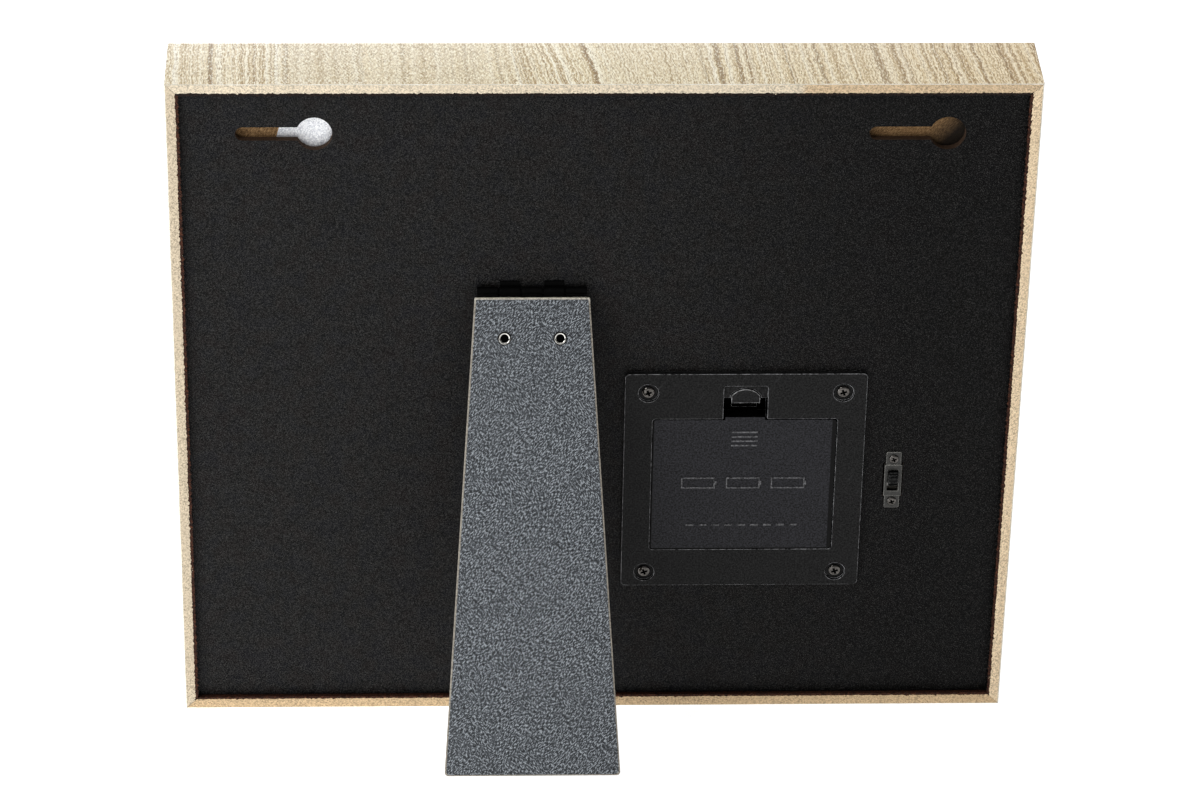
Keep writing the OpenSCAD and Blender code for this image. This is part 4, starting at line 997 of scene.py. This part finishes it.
def cross_head(name, lo, hi, shank):
    """A pan-head screw with a tapered cross recess, standing along y."""
    centre = (lo + hi) / 2
    outer = (hi.x - lo.x) / 2
    top, foot = hi.y - centre.y, lo.y - centre.y
    head = outer * 0.45
    under = top - head
    dome = arc((outer * 0.35, under + head * 0.25), (outer * 0.65, head * 0.75), 15, 90)
    profile = [(0.0, foot), (shank * 0.4, foot + shank * 0.8), (shank, foot + shank * 2),
               (shank, under), (outer * 0.985, under), (outer, under + head * 0.25), *dome,
               (0.0, top)]
    body = lathe(profile, centre, "y", 40, [SCREW], name)
    cutter = bmesh.new()
    wide, slim = outer * 0.74, outer * 0.21
    deep = head * 0.95
    for turn in (20, 110):
        rot = Matrix.Rotation(math.radians(turn), 3, "Y")
        ring = []
        for y, sx, sz in ((top - deep, 0.35, 0.55), (top + head, 1.15, 1.1)):
            for u, v in ((-1, -1), (1, -1), (1, 1), (-1, 1)):
                ring.append(cutter.verts.new(
                    centre + rot @ Vector((u * wide * sx, 0, v * slim * sz)) + Vector((0, y, 0))))
        cutter.faces.new(ring[3::-1])
        cutter.faces.new(ring[4:])
        for k in range(4):
            cutter.faces.new([ring[k], ring[(k + 1) % 4], ring[4 + (k + 1) % 4], ring[4 + k]])
    head_obj = bpy.data.objects.new("head", body)
    tool_obj = bpy.data.objects.new("tool", mesh_from(cutter, "cross"))
    for o in (head_obj, tool_obj):
        bpy.context.scene.collection.objects.link(o)
    cut = head_obj.modifiers.new("cross", "BOOLEAN")
    cut.object, cut.operation, cut.solver, cut.use_self = tool_obj, "DIFFERENCE", "EXACT", True
    bpy.context.view_layer.update()
    made = bpy.data.meshes.new_from_object(
        head_obj.evaluated_get(bpy.context.evaluated_depsgraph_get()))
    for o in (head_obj, tool_obj):
        bpy.data.objects.remove(o)
    made.name = name
    # The walls and floor of the cross recess take painted shade.
    made.materials.append(RECESS_SHADE)
    for poly in made.polygons:
        away = math.hypot(poly.center.x - centre.x, poly.center.z - centre.z)
        wall = (poly.normal.y < 0.6 and away < outer * 0.72
                and poly.center.y > centre.y + top - deep * 1.1)
        floor_of_cross = poly.center.y < centre.y + top - deep * 0.6 and away < outer * 0.6
        if (wall or floor_of_cross) and poly.center.y > centre.y + under - head * 0.2:
            poly.material_index = 1
    made.set_sharp_from_angle(angle=math.radians(32))
    return made


for group, shank in (("case_screws", 1.2 * MM), ("switch_screws", 0.8 * MM)):
    for i, (lo, hi) in enumerate(islands(group, PANEL)):
        me = cross_head(f"{group}_{i + 1}", lo, hi, shank)
        link(f"{group}_{i + 1}", me, PANEL, "frame", "screw_steel", *first_for(i, group))

# ---------------------------------------------------------------- cells and contacts

contact_boxes = islands("contact_buttons", PANEL)


def button_by(centre):
    """The middle of the contact button level with a point, and the way to it along x."""
    lo, hi = min(contact_boxes, key=lambda b: abs((b[0].z + b[1].z) / 2 - centre.z))
    return (lo + hi) / 2, 1 if lo.x > centre.x else -1


def cell(i):
    """A cell has a sleeve in two colours, two steel ends, a button and an insulating ring."""
    lo, hi = corners(f"battery_{i}", PANEL)
    centre = (lo + hi) / 2
    _, way = button_by(centre)
    r, half = (hi.z - lo.z) / 2, (hi.x - lo.x) / 2
    nub, nub_length = 2.6 * MM, 1.2 * MM
    shoulder = half - nub_length
    sleeve, steel, band, ring = range(4)
    steps = [
        (0.0, -half + 0.25 * MM, steel), (r * 0.42, -half + 0.25 * MM, steel),
        (r * 0.5, -half, steel), (r * 0.86, -half, steel), (r * 0.93, -half + 0.25 * MM, sleeve),
        (r * 0.985, -half + 0.35 * MM, sleeve), (r, -half + 0.9 * MM, sleeve),
        (r, shoulder - 11 * MM, band), (r, shoulder - 0.9 * MM, band),
        (r * 0.985, shoulder - 0.3 * MM, band), (r * 0.93, shoulder - 0.1 * MM, band),
        (r * 0.86, shoulder - 0.1 * MM, ring), (r * 0.52, shoulder - 0.1 * MM, steel),
        (nub, shoulder + 0.05 * MM, steel), (nub, half - 0.35 * MM, steel),
        (nub * 0.9, half - 0.08 * MM, steel), (nub * 0.7, half, steel), (0.0, half, steel),
    ]
    me = lathe([(a, way * b) for a, b, _ in steps], centre, "x", 56,
               [SLEEVE, STEEL, SLEEVE_BAND, WHITE], f"cell_{i}", [s[2] for s in steps[:-1]], 30)
    link(f"battery_{i}.shape", me, PANEL, "frame", "cell_sleeve", f"battery_{i}")


def spring(i, lo, hi):
    """A cone of wire, wide at the wall and narrow at the cell."""
    middle, way = button_by((lo + hi) / 2)
    wire, turns, steps = 0.35 * MM, 3.5, 40
    wide = (hi.z - lo.z) / 2 - wire
    narrow = wide * 0.52
    start, run = (lo.x if way > 0 else hi.x) + way * wire, (hi.x - lo.x - 2 * wire) * way
    count = int(turns * steps)
    path = []
    for k in range(count + 1):
        f, a = k / count, 2 * math.pi * k / steps
        r = wide + f * (narrow - wide)
        ease = max(0.0, min(1.0, (f - 0.14) / 0.72))
        path.append(Vector((start + run * ease, middle.y + r * math.cos(a),
                            middle.z + r * math.sin(a))))
    me = tube(f"spring_{i + 1}", path, wire, 12, [NICKEL])
    link(f"contact_spring_{i + 1}", me, PANEL, "frame", "nickel", *first_for(i, "contact_springs"))


def disc(i, lo, hi):
    """A dished contact disc, its hollow side towards the cell."""
    centre = (lo + hi) / 2
    r, half = (hi.z - lo.z) / 2, (hi.x - lo.x) / 2
    way = -1 if centre.x > case_middle.x else 1
    profile = [(0.0, half * 0.6), (r * 0.4, half * 0.6), (r * 0.5, half), (r * 0.9, half),
               (r, half * 0.4), (r, -half), (0.0, -half)]
    me = lathe([(a, way * b) for a, b in profile], centre, "x", 40, [NICKEL], "disc")
    link(f"contact_disc_{i + 1}", me, PANEL, "frame", "nickel", *first_for(i, "contact_buttons"))


for i in (1, 2, 3):
    cell(i)
for i, box in enumerate(islands("contact_springs", PANEL)):
    spring(i, *box)
for i, box in enumerate(contact_boxes):
    disc(i, *box)

# ---------------------------------------------------------------- switch and wiring

knob_top = corners("switch_knob", PANEL)[1].y


def knob_pick(_normal, centre):
    """The plate behind the slot is steel; the knob on it is plastic."""
    return 2 if centre.y < knob_top - 1.2 * MM else 0


refine("switch_bracket", "dark_steel", [BRACKET, BRACKET_HIGHLIGHT], 0.12, edge=1)
refine("switch_base", "switch_insulator", [PHENOLIC], 0.1)
refine("switch_knob", "knob_plastic", [KNOB, KNOB_HIGHLIGHT, SLIDER], 0.1, knob_pick, body="knob",
       edge=1)
refine("switch_terminals", "nickel", [NICKEL], 0.08)
dress("wire_case_to_switch", RED)
dress("wire_switch_to_strip", RED)
dress("wire_case_to_strip", BLACK)
dress("wire_links", WHITE)
refine("series_resistor", "resistor", [BUFF], 0.25)

# ---------------------------------------------------------------- floor and light
FLOOR_GLOW, SKY = 1.42, 0.22


def stage():
    """A pale floor that glows a little, so that it stays near white."""
    m = Look("studio_floor", Specular_IOR_Level=0.05, Roughness=0.9)
    m.colour(m.ramp(m.noise(m.place(), 0.004, 2.0), (0.3, grey(160)),
                    (0.7, grey(166))))
    m.shader.inputs["Emission Color"].default_value = (1, 1, 1, 1)
    # The glow is stronger towards +X, where the glowing floor lights the frame and shows as a brighter sheen in
    # the panel.
    fade_over = 600  # millimetres across the floor
    side = m.math("MULTIPLY_ADD", m.part(m.place(), 0), 1 / fade_over, 0.5)
    glow = m.math("MULTIPLY", m.ramp(side, (0.25, 0.62), (0.45, 0.66), (0.62, 1.0)), FLOOR_GLOW)
    m.tree.links.new(glow, m.shader.inputs["Emission Strength"])
    reach = 6.0
    square = [(reach * x, reach * y, 0) for x, y in ((-1, -1), (1, -1), (1, 1), (-1, 1))]
    me = mesh_of("studio_floor", square, [[0, 1, 2, 3]], [m.mat])
    floor = bpy.data.objects.new("studio_floor", me)
    bpy.context.scene.collection.objects.link(floor)


def softbox(name, at, aim, size, power, colour=(1, 1, 1)):
    data = bpy.data.lights.new(name, "AREA")
    data.shape, data.size, data.size_y = "RECTANGLE", size[0], size[1]
    data.energy, data.color = power, colour
    lamp = bpy.data.objects.new(name, data)
    lamp.location = at
    lamp.rotation_mode = "QUATERNION"
    lamp.rotation_quaternion = (Vector(aim) - Vector(at)).to_track_quat("-Z", "Y")
    lamp.visible_camera = False
    bpy.context.scene.collection.objects.link(lamp)


stage()
softbox("key", (0.55, 0.70, 0.62), (0.06, 0.02, 0.16), (0.4, 0.4), 3.4)
softbox("top", (0.1, 0.1, 1.3), (0, 0, 0.1), (1.0, 0.8), 6.0)
softbox("low_left", (0.42, 0.30, 0.05), (0.09, 0.0, 0.05), (0.22, 0.08), 0.25, (0.86, 0.93, 1.0))
softbox("front", (0.4, -1.5, 1.0), (0, 0, 0.12), (1.2, 0.9), 14)
world = bpy.data.worlds.new("studio")
bpy.context.scene.world = world
world.use_nodes = True
world.node_tree.nodes["Background"].inputs[0].default_value = (1, 1, 1, 1)
world.node_tree.nodes["Background"].inputs[1].default_value = SKY
bpy.context.scene.view_settings.view_transform = "Standard"
